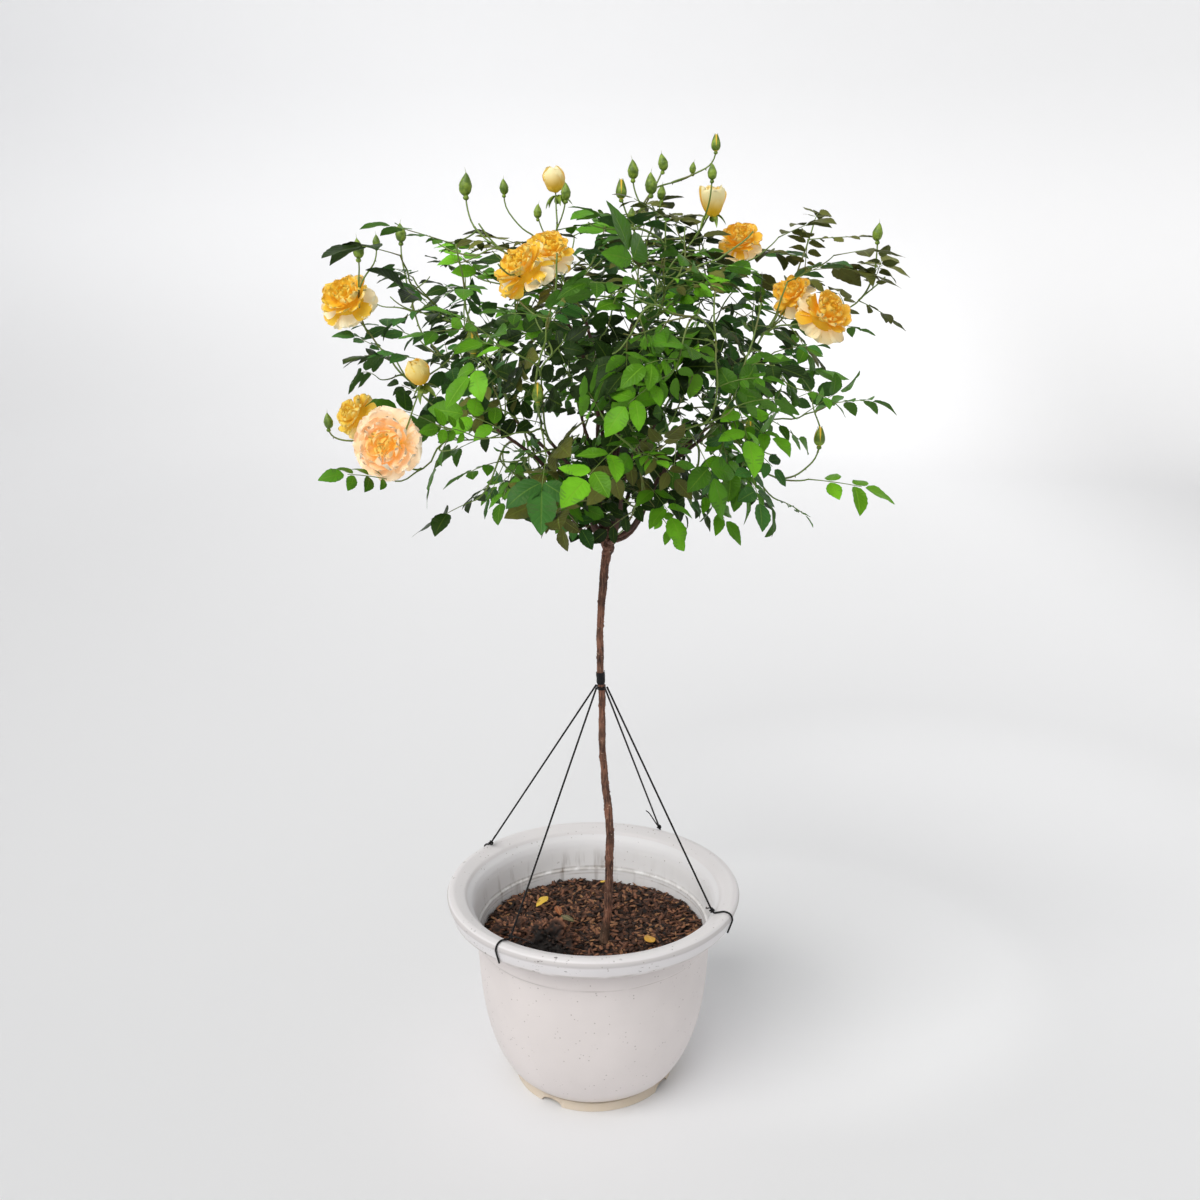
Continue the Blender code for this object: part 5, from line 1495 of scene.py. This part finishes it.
def thinness(place, front):
    """Share of the leaves that a place goes without: more at the rim, on top and at the left, where the
    photo shows sky, and none on the high right-hand twigs."""
    if place.x > 0.25 and place.z > 1.1:
        return 0.0
    crowded = min(1.0, max(0.0, (share_of_reach(place) - 0.6) / 0.35)) * (0.2 if front else 1.15)
    thin = 0.5 * max(crowded, min((place.z - 1.13) / 0.06, 0.55))
    return thin + (0.42 if place.x < -0.05 else 0.17 if place.x > 0.1 else 0.0)


@functools.lru_cache(maxsize=1)
def grown_leaves():
    """Leaves in turn round every twig from its tip inward, each 137.5 degrees on from the last; one that
    would leave its mass or touch a limb, a bloom or the last leaves is turned on, and then skipped.
    Small dark ones follow up every bough in the same turns; their dark tint is painted shade."""
    masses, limbs = grown_crown()
    tints = {name: Leaves() for name in ("deep", "blue", "mid", "fresh", "lime", "olive")}
    heads = [(Vector(middle), diameter * 0.5) for middle, diameter, *_ in BLOOMS]
    heads += [(Vector(middle), length * 0.3) for middle, length in BUDS]
    middles = []
    for mass in masses:
        rng = random.Random(mass.seed + 2000)
        for twig in mass.twigs:
            turn = rng.uniform(0.0, 2 * math.pi)
            distance = twig.length - twig.bare - 0.001
            lead = SIDE_LEAD if twig.bare else TIP_LEAD
            tint = tint_of(twig.at(twig.length * 0.8)[0], rng)
            while distance > twig.length * SPRAY_START:
                place, heading = twig.at(distance)
                front = place.y < -0.14 and abs(place.x - 0.03) < 0.18
                length = leaf_length(place, twig, tint, front, rng)
                sparse = rng.random() < thinness(place, front) and lead != TIP_LEAD
                for attempt in range(0 if sparse else LEAF_TRIES):
                    along, face = spray_way(place, heading, turn + attempt * TRY_TURN, lead, rng)
                    middle = place + along * (length * 0.62) - UP * (length * 0.08)
                    tip = place + along * length - UP * (length * 0.2)
                    if fits(mass, limbs, heads, middle, tip) and clear_of(middle, middles, 0.017):
                        middles.append(middle)
                        add_leaf(tints[tint], place, along, face, length, rng)
                        break
                lead = SIDE_LEAD
                turn += GOLDEN_TURN
                distance -= SPRAY_STEP * rng.uniform(0.8, 1.2)
        bough = Twig(bezier(*mass.controls, 12), [BOUGH_TIP] * 12, mass.controls)
        distance = BOUGH_BARE
        while distance < bough.length:
            place, heading = bough.at(distance)
            along, face = spray_way(place, heading, turn, SIDE_LEAD, rng)
            length = rng.uniform(0.05, 0.07)
            middle, tip = place + along * (length * 0.65), place + along * length - UP * (length * 0.15)
            clear = tip.z > LOWEST_LEAF and limbs.far(middle, 0.005) and limbs.far(tip, 0.005)
            if clear and clear_of(middle, middles, 0.013):
                middles.append(middle)
                # Painted shade: leaves along the boughs, inside the crown, are mostly deep.
                add_leaf(tints[rng.choice(("deep", "deep", "mid"))], place, along, face, length, rng)
            turn += GOLDEN_TURN
            distance += BOUGH_STEP
    return tints


def stalk_shapes():
    """All leaf stalks: thin four-sided tubes that thin out towards the end leaflet."""
    paths = np.array([path for leaves in grown_leaves().values() for path in leaves.stalks])
    radii = np.array((0.00085, 0.0006, 0.00055, 0.0005, 0.0004)) * np.ones((len(paths), 1))
    return [tubes(paths, radii, 4, 0.08)]


# Blossom

PETALS = {      # number, seat of the roots, quickness of the bend, how far apart they stand, ruffle
    "cup": (62, -0.44, 1.2, 0.1, 0.075), "rosette": (54, -0.34, 1.2, 0.1, 0.1),
    "globe": (24, -0.66, 0.9, 0.1, 0.05), "goblet": (24, -0.98, 0.36, 0.42, 0.035),
}
CLOSED = ("globe", "goblet")


def bloom_petals(spot, diameter, face, form, rng):
    """Petals of one bloom by their share q from the middle outward. In the plane of its own way out and
    the bloom's axis, a petal's midline turns from angle b to angle e off the axis; both grow with q."""
    radius = diameter / 2
    count, seat, quick, apart, ruffle = PETALS[form]
    q = (np.arange(count) + 0.5) / count
    turn = np.arange(count) * GOLDEN_TURN + rng.normal(0, 0.14, count)
    if form == "cup":
        guard = q > 0.8
        begin = np.where(guard, 86, 10 + 66 * q**0.8)
        end = np.where(guard, rng.uniform(92, 158, count), -34 + 130 * q**1.05 + rng.normal(0, 13, count))
        length, width = np.where(guard, 0.94, 0.6 + 0.46 * q), np.where(guard, 0.42, 0.18 + 0.2 * q)
        shade = np.where(guard, rng.choice((0.55, 1.0, 1.0), count), q * 0.5)
    elif form == "rosette":
        begin = 26 + 62 * q**0.7 + rng.normal(0, 7, count)
        end = -30 + 132 * q**0.85 + rng.normal(0, 18, count)
        length, width = 0.5 + 0.58 * q, 0.2 + 0.3 * q
        turn = turn + 0.3 * np.sin(turn * 5) * (1 - q)
        shade = np.where(q > 0.62, 0.72 + 0.7 * (q - 0.62), np.clip(q * 0.55 - 0.06, 0.0, 1.0))
    elif form == "globe":
        begin, end = 88 + 4 * q, -84 + 46 * q**2 + rng.normal(0, 4, count)
        length, width = 1.8 + 0.16 * q, 0.6 + 0.22 * q
    else:
        begin, end = 84 + 4 * q, -14 + 14 * q + rng.normal(0, 5, count)
        length, width = 2.0 + 0.1 * q, 0.56 + 0.26 * q
    if form in CLOSED:
        shade = 0.3 + q * 0.3
    begin = np.radians(begin + rng.normal(0, 3, count))
    end = np.radians(end + rng.normal(0, 5, count))
    length = radius * length * rng.uniform(0.92, 1.06, count)
    width = radius * width * rng.uniform(0.85, 1.15, count)
    axis = np.array(face)
    first = unit(np.cross(axis, (0.3, 0.2, 1.0)))
    second = np.cross(axis, first)
    out = first * np.cos(turn)[:, None] + second * np.sin(turn)[:, None]
    root = np.array(spot) + axis * (radius * seat) + out * (radius * apart * q)[:, None]
    cup = 0.55 if form in CLOSED else 0.42 - 0.46 * q
    ruffle = radius * ruffle * rng.uniform(0.5, 1.5, count)
    numbers = (begin, end, length, width, cup, ruffle, rng.uniform(0, 6.28, count), shade, quick)
    return root, np.tile(axis, (count, 1)), out, *(part + 0 * q for part in numbers)


def bent_sheets(root, axis, out, angle, steps, half, bend, slide, thick, shade):
    """Sheets in the plane of an axis and a way out. The midline is the root and the running sum of
    step * (axis cos + out sin) of its angles off the axis; across it a sheet reaches half * v, bends
    inward and slides along it by the grids given."""
    axis, out = axis[:, None], out[:, None]
    cosine, sine = np.cos(angle)[..., None], np.sin(angle)[..., None]
    way, inward = axis * cosine + out * sine, axis * sine - out * cosine
    line = root[:, None] + np.cumsum(way * steps, 1)
    points = (line[:, :, None] + np.cross(axis, out)[:, :, None] * half[..., None]
              + inward[:, :, None] * bend[..., None] + way[:, :, None] * slide[..., None])
    normal = np.broadcast_to(inward[:, :, None], points.shape)
    return sheets(points[:, :, ::-1], normal, thick, shade)


def petal_sheets(root, axis, out, *numbers):
    """Petals. With s from root to tip, the angle off the axis is b + (e - b) s^quick. The half width is
    w s^0.55 (1 - 0.97 s^9)^0.5; a margin bends inward by cup * w v^2 and waves by the ruffle, and the
    tip has a shallow notch."""
    s, v = 1 - (1 - np.linspace(0, 1, 9)) ** 1.6, np.linspace(-1, 1, 7)
    begin, end, length, width, cup, ruffle, phase, shade, quick = (part[:, None] for part in numbers)
    angle = begin + (end - begin) * s**quick
    half = (width * np.clip(s, 0.06, 1) ** 0.55 * (1 - 0.97 * s**9) ** 0.5)[..., None]
    length, cup, ruffle, phase = (part[..., None] for part in (length, cup, ruffle, phase))
    notch = length * (s**3)[:, None] * (-0.03 * np.exp(-(v / 0.22) ** 2) - 0.05 * v**4)
    wave = ruffle * (s**1.5)[:, None] * (
        np.sin(v * 5.0 + phase) + 0.6 * np.sin(v * 9.0 + s[:, None] * 4 + phase * 2.0))
    steps = length * np.diff(s, prepend=0.0)[:, None]
    bend = cup * half * v**2 + wave * np.abs(v) ** 0.5
    return bent_sheets(root, axis, out, angle, steps, half * v, bend, notch, 0.0003, shade[:, 0])


def blossom_shapes(colours):
    """Sheets of every bloom that has the colours, each round a closed heart."""
    rows, hearts = [], []
    for index, (spot, diameter, azimuth, height, form, colour) in enumerate(BLOOMS):
        if colour == colours:
            way = facing(azimuth, height)
            rows.append(bloom_petals(spot, diameter, way, form, np.random.default_rng(70 + index)))
            drop, tall = (0.0, 0.62) if form in CLOSED else (0.17, 0.36)
            axis = np.array([way])
            hearts.append(turned_balls(
                np.array([spot]) - axis * (diameter * drop), axis, np.array([diameter * tall]),
                np.array([diameter * 0.27]), 0.0))
    return [petal_sheets(*map(np.concatenate, zip(*rows)))] + hearts


def sepal_sheets(root, axis, size, begin, end, width, shade, seed):
    """Five narrow green sheets round each axis, made as petals are, that end in long points: half
    width w sin(pi (0.1 + 0.9 s)^0.62)^0.9."""
    turn = (np.arange(5) * 2 * np.pi / 5)[None] + np.random.default_rng(seed).uniform(0, 6, (len(root), 1))
    first = unit(np.cross(axis, (0.3, 0.2, 1.0)))[:, None]
    second = np.cross(axis, first[:, 0])[:, None]
    out = (first * np.cos(turn)[..., None] + second * np.sin(turn)[..., None]).reshape(-1, 3)
    size, begin, end, root, axis = (np.repeat(part, 5, 0) for part in (size, begin, end, root, axis))
    s, v = np.linspace(0, 1, 9), np.linspace(-1, 1, 5)
    angle = np.radians(begin[:, None] + (end - begin)[:, None] * s**0.8)
    size = size * np.random.default_rng(seed + 1).uniform(0.9, 1.1, len(size))
    steps = size[:, None, None] * np.diff(s, prepend=0.0)[:, None]
    half = width * np.maximum(np.sin(np.pi * (0.1 + 0.9 * s) ** 0.62), 0.0) ** 0.9 + 0.00012
    half = np.broadcast_to(half[:, None], (len(size), 9, 1))
    return bent_sheets(root + out * (width * 0.35), axis, out, angle, steps, half * v,
                       0.55 * half * v**2, 0 * half * v, 0.0003, np.full(len(size), shade))


def turned_balls(spot, axis, length, radius, shade, sides=15, rows=13):
    """Small turned bodies on an axis: radius r * bud_body(t) at the height length * (t - 0.5)."""
    t = np.linspace(0.0, 1.0, rows)
    paths = spot[:, None] + axis[:, None] * ((t - 0.5) * length[:, None])[..., None]
    return tubes(paths, radius[:, None] * bud_body(t) + 0.00005, sides, shade)


def bud_body(t):
    """A plump foot that narrows to a point: (sin(pi t^0.62))^0.8 for the share t of the height."""
    return np.maximum(np.sin(np.pi * np.clip(t, 0.01, 0.99) ** 0.62), 0.0) ** 0.8


def bud_rows(opening):
    """Middles and lengths of the opening or of the tight buds."""
    rows = [row for i, row in enumerate(BUDS) if (i in OPENING_BUDS) == opening]
    return column(rows, 0), column(rows, 1)


def closed_buds():
    """Tight buds in their five sepals, nearly upright, each leaning its own way: r (1 + ridges cos 5a) *
    body(t / 0.8) up to t = 0.8, and on to a long fine tip that bends aside by the square of its share."""
    spot, length = bud_rows(False)
    count, length = len(spot), length[:, None]
    lean = np.random.default_rng(85).normal(0, 0.1, (count, 2))
    axis = unit(np.concatenate((lean, np.ones((count, 1))), 1))
    aside = np.random.default_rng(86).normal(size=(count, 2))
    aside = unit(np.concatenate((aside, np.zeros((count, 1))), 1))
    t = np.linspace(0, 1, 22)
    tip = np.clip((t - 0.6) / 0.4, 0, 1) ** 2 * 0.1
    paths = (spot[:, None] + axis[:, None] * ((t - 0.42) * length)[..., None]
             + aside[:, None] * (tip * length)[..., None])
    radii = 0.228 * bud_body(np.clip(t / 0.8, 0, 1)) * (t < 0.8) + 0.03 * (1 - t) ** 0.7 * (t > 0.3)
    radii = length * radii
    points, out = rings(paths, radii, 20)
    a = np.arange(20) * 2 * np.pi / 20
    ridge = (0.05 * np.cos(5 * a) - 0.07 * np.abs(np.cos(2.5 * a)) ** 12) * (t < 0.8)[:, None]
    points = points + out * (radii[..., None] * ridge)[..., None]
    return surface(points, np.clip(t * 1.3 - 0.35, 0.0, 1.0) * np.ones((count, 1)))


def opening_buds():
    """The golden petals of opening buds and the five sepals that clasp them: strips on the body's radius
    whose half angle is 36 degrees * (1 - t^2.2)^0.8 + 0.012 / (0.15 + body) and whose tips stand off."""
    spot, length = bud_rows(True)
    core = turned_balls(spot, upright(spot), length * 0.86, length * 0.235, 0.3, 20, 15)
    t, v = np.linspace(0.04, 1.0, 13), np.linspace(-1, 1, 5)
    turn = 2 * np.pi / 5 * np.arange(5) + 0.3
    half = np.radians(36) * (1 - t**2.2) ** 0.8 + 0.012 / (0.15 + bud_body(t))
    out = around(turn[:, None, None] + half[:, None] * v)
    reach = 0.235 * bud_body(np.clip(t, 0, 0.93)) + 0.012 + 0.05 * t**4
    rise = (t * 1.02 - 0.5)[:, None, None] * np.array((0, 0, 0.86))
    clasp = length[:, None, None, None, None] * (out * reach[:, None, None] + rise)
    clasp = spot[:, None, None, None] + clasp
    out = np.broadcast_to(out, clasp.shape)
    return core, sheets(clasp.reshape(-1, 13, 5, 3), out.reshape(-1, 13, 5, 3), 0.0005, 0.3)


def upright(spots):
    """The way up, once for each spot."""
    return np.tile((0.0, 0.0, 1.0), (len(spots), 1))


def hip_shapes():
    """A round green hip under every bloom and bud, and the sepals that are thrown back under blooms."""
    buds, size = column(BUDS, 0), column(BUDS, 1)
    rise = upright(buds)
    seat = buds - rise * (size * 0.42)[:, None]
    axis = np.array([facing(azimuth, height) for _, _, azimuth, height, _, _ in BLOOMS])
    closed = np.isin(column(BLOOMS, 4), CLOSED)
    drop = column(BLOOMS, 1) / 2 * np.where(closed, 0.86, 0.46)
    foot = column(BLOOMS, 0) - axis * drop[:, None]
    hip = np.where(closed, 0.0042, 0.005)
    bent = np.where(closed, 150.0, 118.0)
    return [turned_balls(seat - rise * 0.001, rise, size * 0.26, size * 0.11, 0.1, 10, 8),
            turned_balls(foot - axis * 0.004, axis, hip * 2.6, hip, 0.1, 12, 9),
            sepal_sheets(foot, axis, np.where(closed, 0.021, 0.026), 0 * bent + 95.0, bent, 0.0036, 0.2, 83)]


# Settings, operators and panel

def colour(name, description, default):
    return bpy.props.FloatVectorProperty(
        name=name, description=description, default=default, size=3, min=0.0, max=1.0, subtype="COLOR")


def number(name, description, default, **rest):
    return bpy.props.FloatProperty(name=name, description=description, default=default, **rest)


class RosePotSettings(bpy.types.PropertyGroup):
    plastic: colour("Plastic", "Base colour of the pot's plastic", (0.79, 0.735, 0.72))
    mulch: colour("Mulch", "Middle colour of the bark mulch", (0.115, 0.048, 0.026))
    chips: bpy.props.IntProperty(
        name="Chips", description="Number of loose slivers of bark on the mulch", default=4200, min=0)
    cord: colour("Cord", "Base colour of the cords and the tape", (0.006, 0.006, 0.007))


class RoseStemSettings(bpy.types.PropertyGroup):
    bark: colour("Bark", "Base colour of the old bark", (0.105, 0.044, 0.026))
    young: colour("Young stem", "Base colour of young twigs and leaf stalks", (0.17, 0.26, 0.045))
    old: colour("Old twig", "Base colour of older twigs", (0.06, 0.034, 0.02))


class RoseLeafSettings(bpy.types.PropertyGroup):
    # Deep is painted shade: the tint of leaves inside the crown.
    deep: colour("Deep", "Leaves inside the crown", (0.018, 0.046, 0.006))
    blue: colour("Blue green", "Shaded leaves with a bluish cast", (0.046, 0.15, 0.026))
    mid: colour("Middle", "Most leaves", (0.074, 0.22, 0.012))
    fresh: colour("Fresh", "Young leaves", (0.145, 0.41, 0.016))
    lime: colour("Lime", "The youngest, bright leaves in front", (0.21, 0.56, 0.018))
    # Olive is painted shade and light shining through: top leaves seen from beneath against the light.
    olive: colour("Olive", "Old and bronzed leaves at the top", (0.125, 0.135, 0.028))


class RoseStageSettings(bpy.types.PropertyGroup):
    paper: colour("Paper", "Colour of the floor and the wall behind", (0.865, 0.872, 0.89))
    distance: number("Distance", "How far the camera stands in front of the stem", -FRONT.y, min=0.5,
                     unit="LENGTH", subtype="DISTANCE")
    height: number("Height", "Height of the camera", FRONT.z, min=0.0, unit="LENGTH", subtype="DISTANCE")
    tilt: number(
        "Tilt", "How far the camera looks down", math.radians(15.06), unit="ROTATION", subtype="ANGLE")
    lens: number("Lens", "Focal length of the camera", 37.0, min=10.0, unit="CAMERA")


def nodes_named(start):
    return sorted(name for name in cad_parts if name.startswith(start))


def put_foliage(name, shapes, finish):
    put(name, shapes, finish, nodes_named("foliage_"))


class RosePotOperator(bpy.types.Operator):
    """Make the pot, with its rounded rim, collar, ledge and notched foot"""
    bl_idname = "rose.make_pot"
    bl_label = "Make pot"

    def execute(self, context):
        finish = pot_finish(tuple(context.scene.rose_pot.plastic))
        put("pot_shell", [make_pot_shape()], finish, ["pot"])
        return {"FINISHED"}


class RoseMulchOperator(bpy.types.Operator):
    """Make the bark mulch: its bed, loose chips, clods and a few fallen leaves"""
    bl_idname = "rose.make_mulch"
    bl_label = "Make mulch"

    def execute(self, context):
        settings = context.scene.rose_pot
        finish = mulch_finish(tuple(settings.mulch))
        rng = np.random.default_rng(91)
        put("mulch_bed", [make_mulch_bed()], finish, ["mulch"])
        put("mulch_chips", [make_chips(rng, settings.chips)], finish, ["mulch"])
        clods = lumps(
            CLOD_MIDDLES, CLOD_RADII, 0.7, 0.34, 93, 72, 48, np.array((0.5, 0.42, 0.3, 0.22, 0.26, 0.4)))
        angle, reach = rng.uniform(0, 2 * np.pi, CRUMBS), rng.uniform(0.03, 0.13, CRUMBS)
        x, y = reach * np.cos(angle), reach * np.sin(angle)
        small = lumps(
            np.stack((x, y, mulch_height(x, y) + 0.0005), -1), rng.uniform(0.0025, 0.0065, CRUMBS),
            0.6, 0.14, 95, 12, 8, rng.uniform(0.08, 0.42, CRUMBS))
        put("mulch_clods", [clods, small], finish, ["mulch"])
        put("fallen_leaves", [fallen_leaves()], litter_finish(), ["mulch"])
        return {"FINISHED"}


class RoseTrunkOperator(bpy.types.Operator):
    """Make the bare stem with its bark's relief, leaf scars and swollen head"""
    bl_idname = "rose.make_trunk"
    bl_label = "Make stem"

    def execute(self, context):
        finish = bark_finish(tuple(context.scene.rose_stem.bark))
        put("trunk_bark", [make_trunk_shape(), stem_stubs()], finish, ["trunk"])
        put("bough_bark", bough_shapes(), finish, nodes_named("bough_"))
        return {"FINISHED"}


class RoseCordOperator(bpy.types.Operator):
    """Make the tape round the stem and the four taut guy cords with their knots"""
    bl_idname = "rose.make_cords"
    bl_label = "Make tape and cords"

    def execute(self, context):
        black = tuple(context.scene.rose_pot.cord)
        cord = cord_finish("black_cord", black, 260.0, 2.0)
        tails = {
            "front_left": (1, (-0.03, -0.01, -0.004)), "front_right": (1, (-0.04, -0.022, -0.02)),
            "back_right": (3, (-0.026, 0.004, 0.02)), "back_left": (2, (0.022, 0.008, 0.003)),
        }
        put("stem_tape", [make_tape()], cord_finish("black_tape", black, 3.0, 0.5), ["tie_band"])
        for place, azimuth in CORD_AZIMUTHS.items():
            shapes = make_cord(azimuth, *tails[place])
            if place == "front_left":
                shapes.append(make_collar_loop())
            put(f"guy_line_{place}", shapes, cord, [f"guy_cord_{place}"])
        return {"FINISHED"}


class RoseTwigOperator(bpy.types.Operator):
    """Make the twigs, prickles and leaf stalks of every mass of foliage"""
    bl_idname = "rose.make_twigs"
    bl_label = "Make twigs"

    def execute(self, context):
        settings = context.scene.rose_stem
        finish = stem_finish(tuple(settings.young), tuple(settings.old))
        put_foliage("twigs", twig_shapes(), finish)
        put_foliage("leaf_stalks", stalk_shapes(), finish)
        return {"FINISHED"}


class RoseLeafOperator(bpy.types.Operator):
    """Make the compound leaves, joined by the tint of their spray"""
    bl_idname = "rose.make_leaves"
    bl_label = "Make leaves"

    def execute(self, context):
        for tint, leaves in grown_leaves().items():
            colour = tuple(getattr(context.scene.rose_leaf, tint))
            put_foliage(f"leaves_{tint}", leaves.shapes(), leaf_finish(tint, colour))
        return {"FINISHED"}


class RoseBlossomOperator(bpy.types.Operator):
    """Make the blooms, buds, hips and sepals"""
    bl_idname = "rose.make_blossom"
    bl_label = "Make blossom"

    def execute(self, context):
        palettes = {
            "apricot": ((0.79, 0.43, 0.012), (0.84, 0.55, 0.05), (0.88, 0.62, 0.14), (0.94, 0.88, 0.66)),
            "peach": ((0.8, 0.46, 0.02), (0.85, 0.53, 0.27), (0.88, 0.66, 0.46), (0.89, 0.79, 0.61)),
            "golden": ((0.74, 0.4, 0.01), (0.82, 0.58, 0.08), (0.88, 0.68, 0.22), (0.9, 0.76, 0.36)),
            "cream": ((0.74, 0.42, 0.01), (0.87, 0.68, 0.2), (0.93, 0.85, 0.52), (0.94, 0.88, 0.62)),
            "orange": ((0.76, 0.37, 0.01), (0.81, 0.48, 0.04), (0.86, 0.57, 0.13), (0.93, 0.82, 0.54)),
        }
        for name, colours in palettes.items():
            put_foliage(f"blooms_{name}", blossom_shapes(name), petal_finish(name, *colours))
        green = bud_finish("sepal_green", (0.1, 0.18, 0.018), (0.27, 0.4, 0.045))
        gold = petal_finish("bud", *palettes["golden"])
        core, clasp = opening_buds()
        put_foliage("buds_closed", [closed_buds()], green)
        put_foliage("buds_opening", [core], gold)
        put_foliage("sepals", [clasp] + hip_shapes(), green)
        return {"FINISHED"}


class RoseStageOperator(bpy.types.Operator):
    """Make the pale floor that curves up all round, the soft lights and the camera"""
    bl_idname = "rose.make_stage"
    bl_label = "Make stage"

    def execute(self, context):
        settings = context.scene.rose_stage
        bend = np.linspace(0, np.pi / 2, 14)
        radius = np.concatenate(((0.01, 1.0, 3.0), 6.0 + 2.5 * np.sin(bend), (8.5,)))
        height = np.concatenate(((0.0, 0.0, 0.0), 2.5 - 2.5 * np.cos(bend), (5.0,)))
        angles = np.linspace(0, 2 * np.pi, 96, endpoint=False)
        points = around(angles) * radius[:, None, None] + height[:, None, None] * (0, 0, 1)
        index = np.arange(points[..., 0].size).reshape(points.shape[:2])
        faces = quads(np.concatenate((index, index[:, :1]), 1)).tolist() + [index[0].tolist()]
        mesh = bpy.data.meshes.new("stage_floor")
        mesh.from_pydata(points.reshape(-1, 3).tolist(), [], faces)
        mesh.shade_smooth()
        mesh.materials.append(floor_finish(tuple(settings.paper)).material)
        floor = bpy.data.objects.new("stage_floor", mesh)
        context.scene.collection.objects.link(floor)
        lights = (
            ("key", "SUN", (-2.6, -3.2, 4.2), 2.7, (1.0, 0.985, 0.96)),
            ("fill", "AREA", (1.6, -3.0, 2.2), 4.0, (0.97, 0.985, 1.0)),
        )
        for name, kind, place, power, tone in lights:
            data = bpy.data.lights.new(name, kind)
            data.energy, data.color = power, tone
            if kind == "SUN":
                data.angle = math.radians(52.0)
            else:
                data.shape, data.size = "DISK", 2.4
            light = bpy.data.objects.new(name, data)
            light.location = place
            aim = Vector((0.02, 0.0, 0.75)) - light.location
            light.rotation_euler = aim.to_track_quat("-Z", "Y").to_euler()
            context.scene.collection.objects.link(light)
        world = bpy.data.worlds.new("studio")
        world.use_nodes = True
        background = world.node_tree.nodes["Background"]
        background.inputs["Color"].default_value = (1.0, 0.995, 0.985, 1.0)
        background.inputs["Strength"].default_value = 0.425
        context.scene.world = world
        context.scene.view_settings.view_transform = "Standard"
        data = bpy.data.cameras.new("view")
        data.lens, data.sensor_width = settings.lens, 36.0
        camera = bpy.data.objects.new("view", data)
        camera.location = (FRONT.x, -settings.distance, settings.height)
        camera.rotation_euler = (math.pi / 2 - settings.tilt, 0.0, 0.0)
        context.scene.collection.objects.link(camera)
        context.scene.camera = camera
        return {"FINISHED"}


OPERATORS = (
    RoseStageOperator, RosePotOperator, RoseMulchOperator, RoseTrunkOperator, RoseCordOperator,
    RoseTwigOperator, RoseLeafOperator, RoseBlossomOperator,
)
SETTINGS = {
    "rose_pot": RosePotSettings, "rose_stem": RoseStemSettings, "rose_leaf": RoseLeafSettings,
    "rose_stage": RoseStageSettings,
}


class RosePanel(bpy.types.Panel):
    """Sizes and colours of the rose, and the operators that make its pieces"""
    bl_idname = "VIEW3D_PT_rose"
    bl_label = "Potted standard rose"
    bl_space_type = "VIEW_3D"
    bl_region_type = "UI"
    bl_category = "Rose"

    def draw(self, context):
        for name, group in SETTINGS.items():
            box = self.layout.box()
            for prop in group.__annotations__:
                box.prop(getattr(context.scene, name), prop)
        for operator in OPERATORS:
            self.layout.operator(operator.bl_idname)


def register():
    for group in SETTINGS.values():
        bpy.utils.register_class(group)
    for operator in OPERATORS:
        bpy.utils.register_class(operator)
    bpy.utils.register_class(RosePanel)
    for name, group in SETTINGS.items():
        setattr(bpy.types.Scene, name, bpy.props.PointerProperty(type=group))


def unregister():
    for name in SETTINGS:
        delattr(bpy.types.Scene, name)
    bpy.utils.unregister_class(RosePanel)
    for operator in reversed(OPERATORS):
        bpy.utils.unregister_class(operator)
    for group in reversed(list(SETTINGS.values())):
        bpy.utils.unregister_class(group)


def main():
    register()
    for operator in OPERATORS:
        make = getattr(bpy.ops.rose, operator.bl_idname.split(".")[1])
        make()


if __name__ == "__main__":
    main()
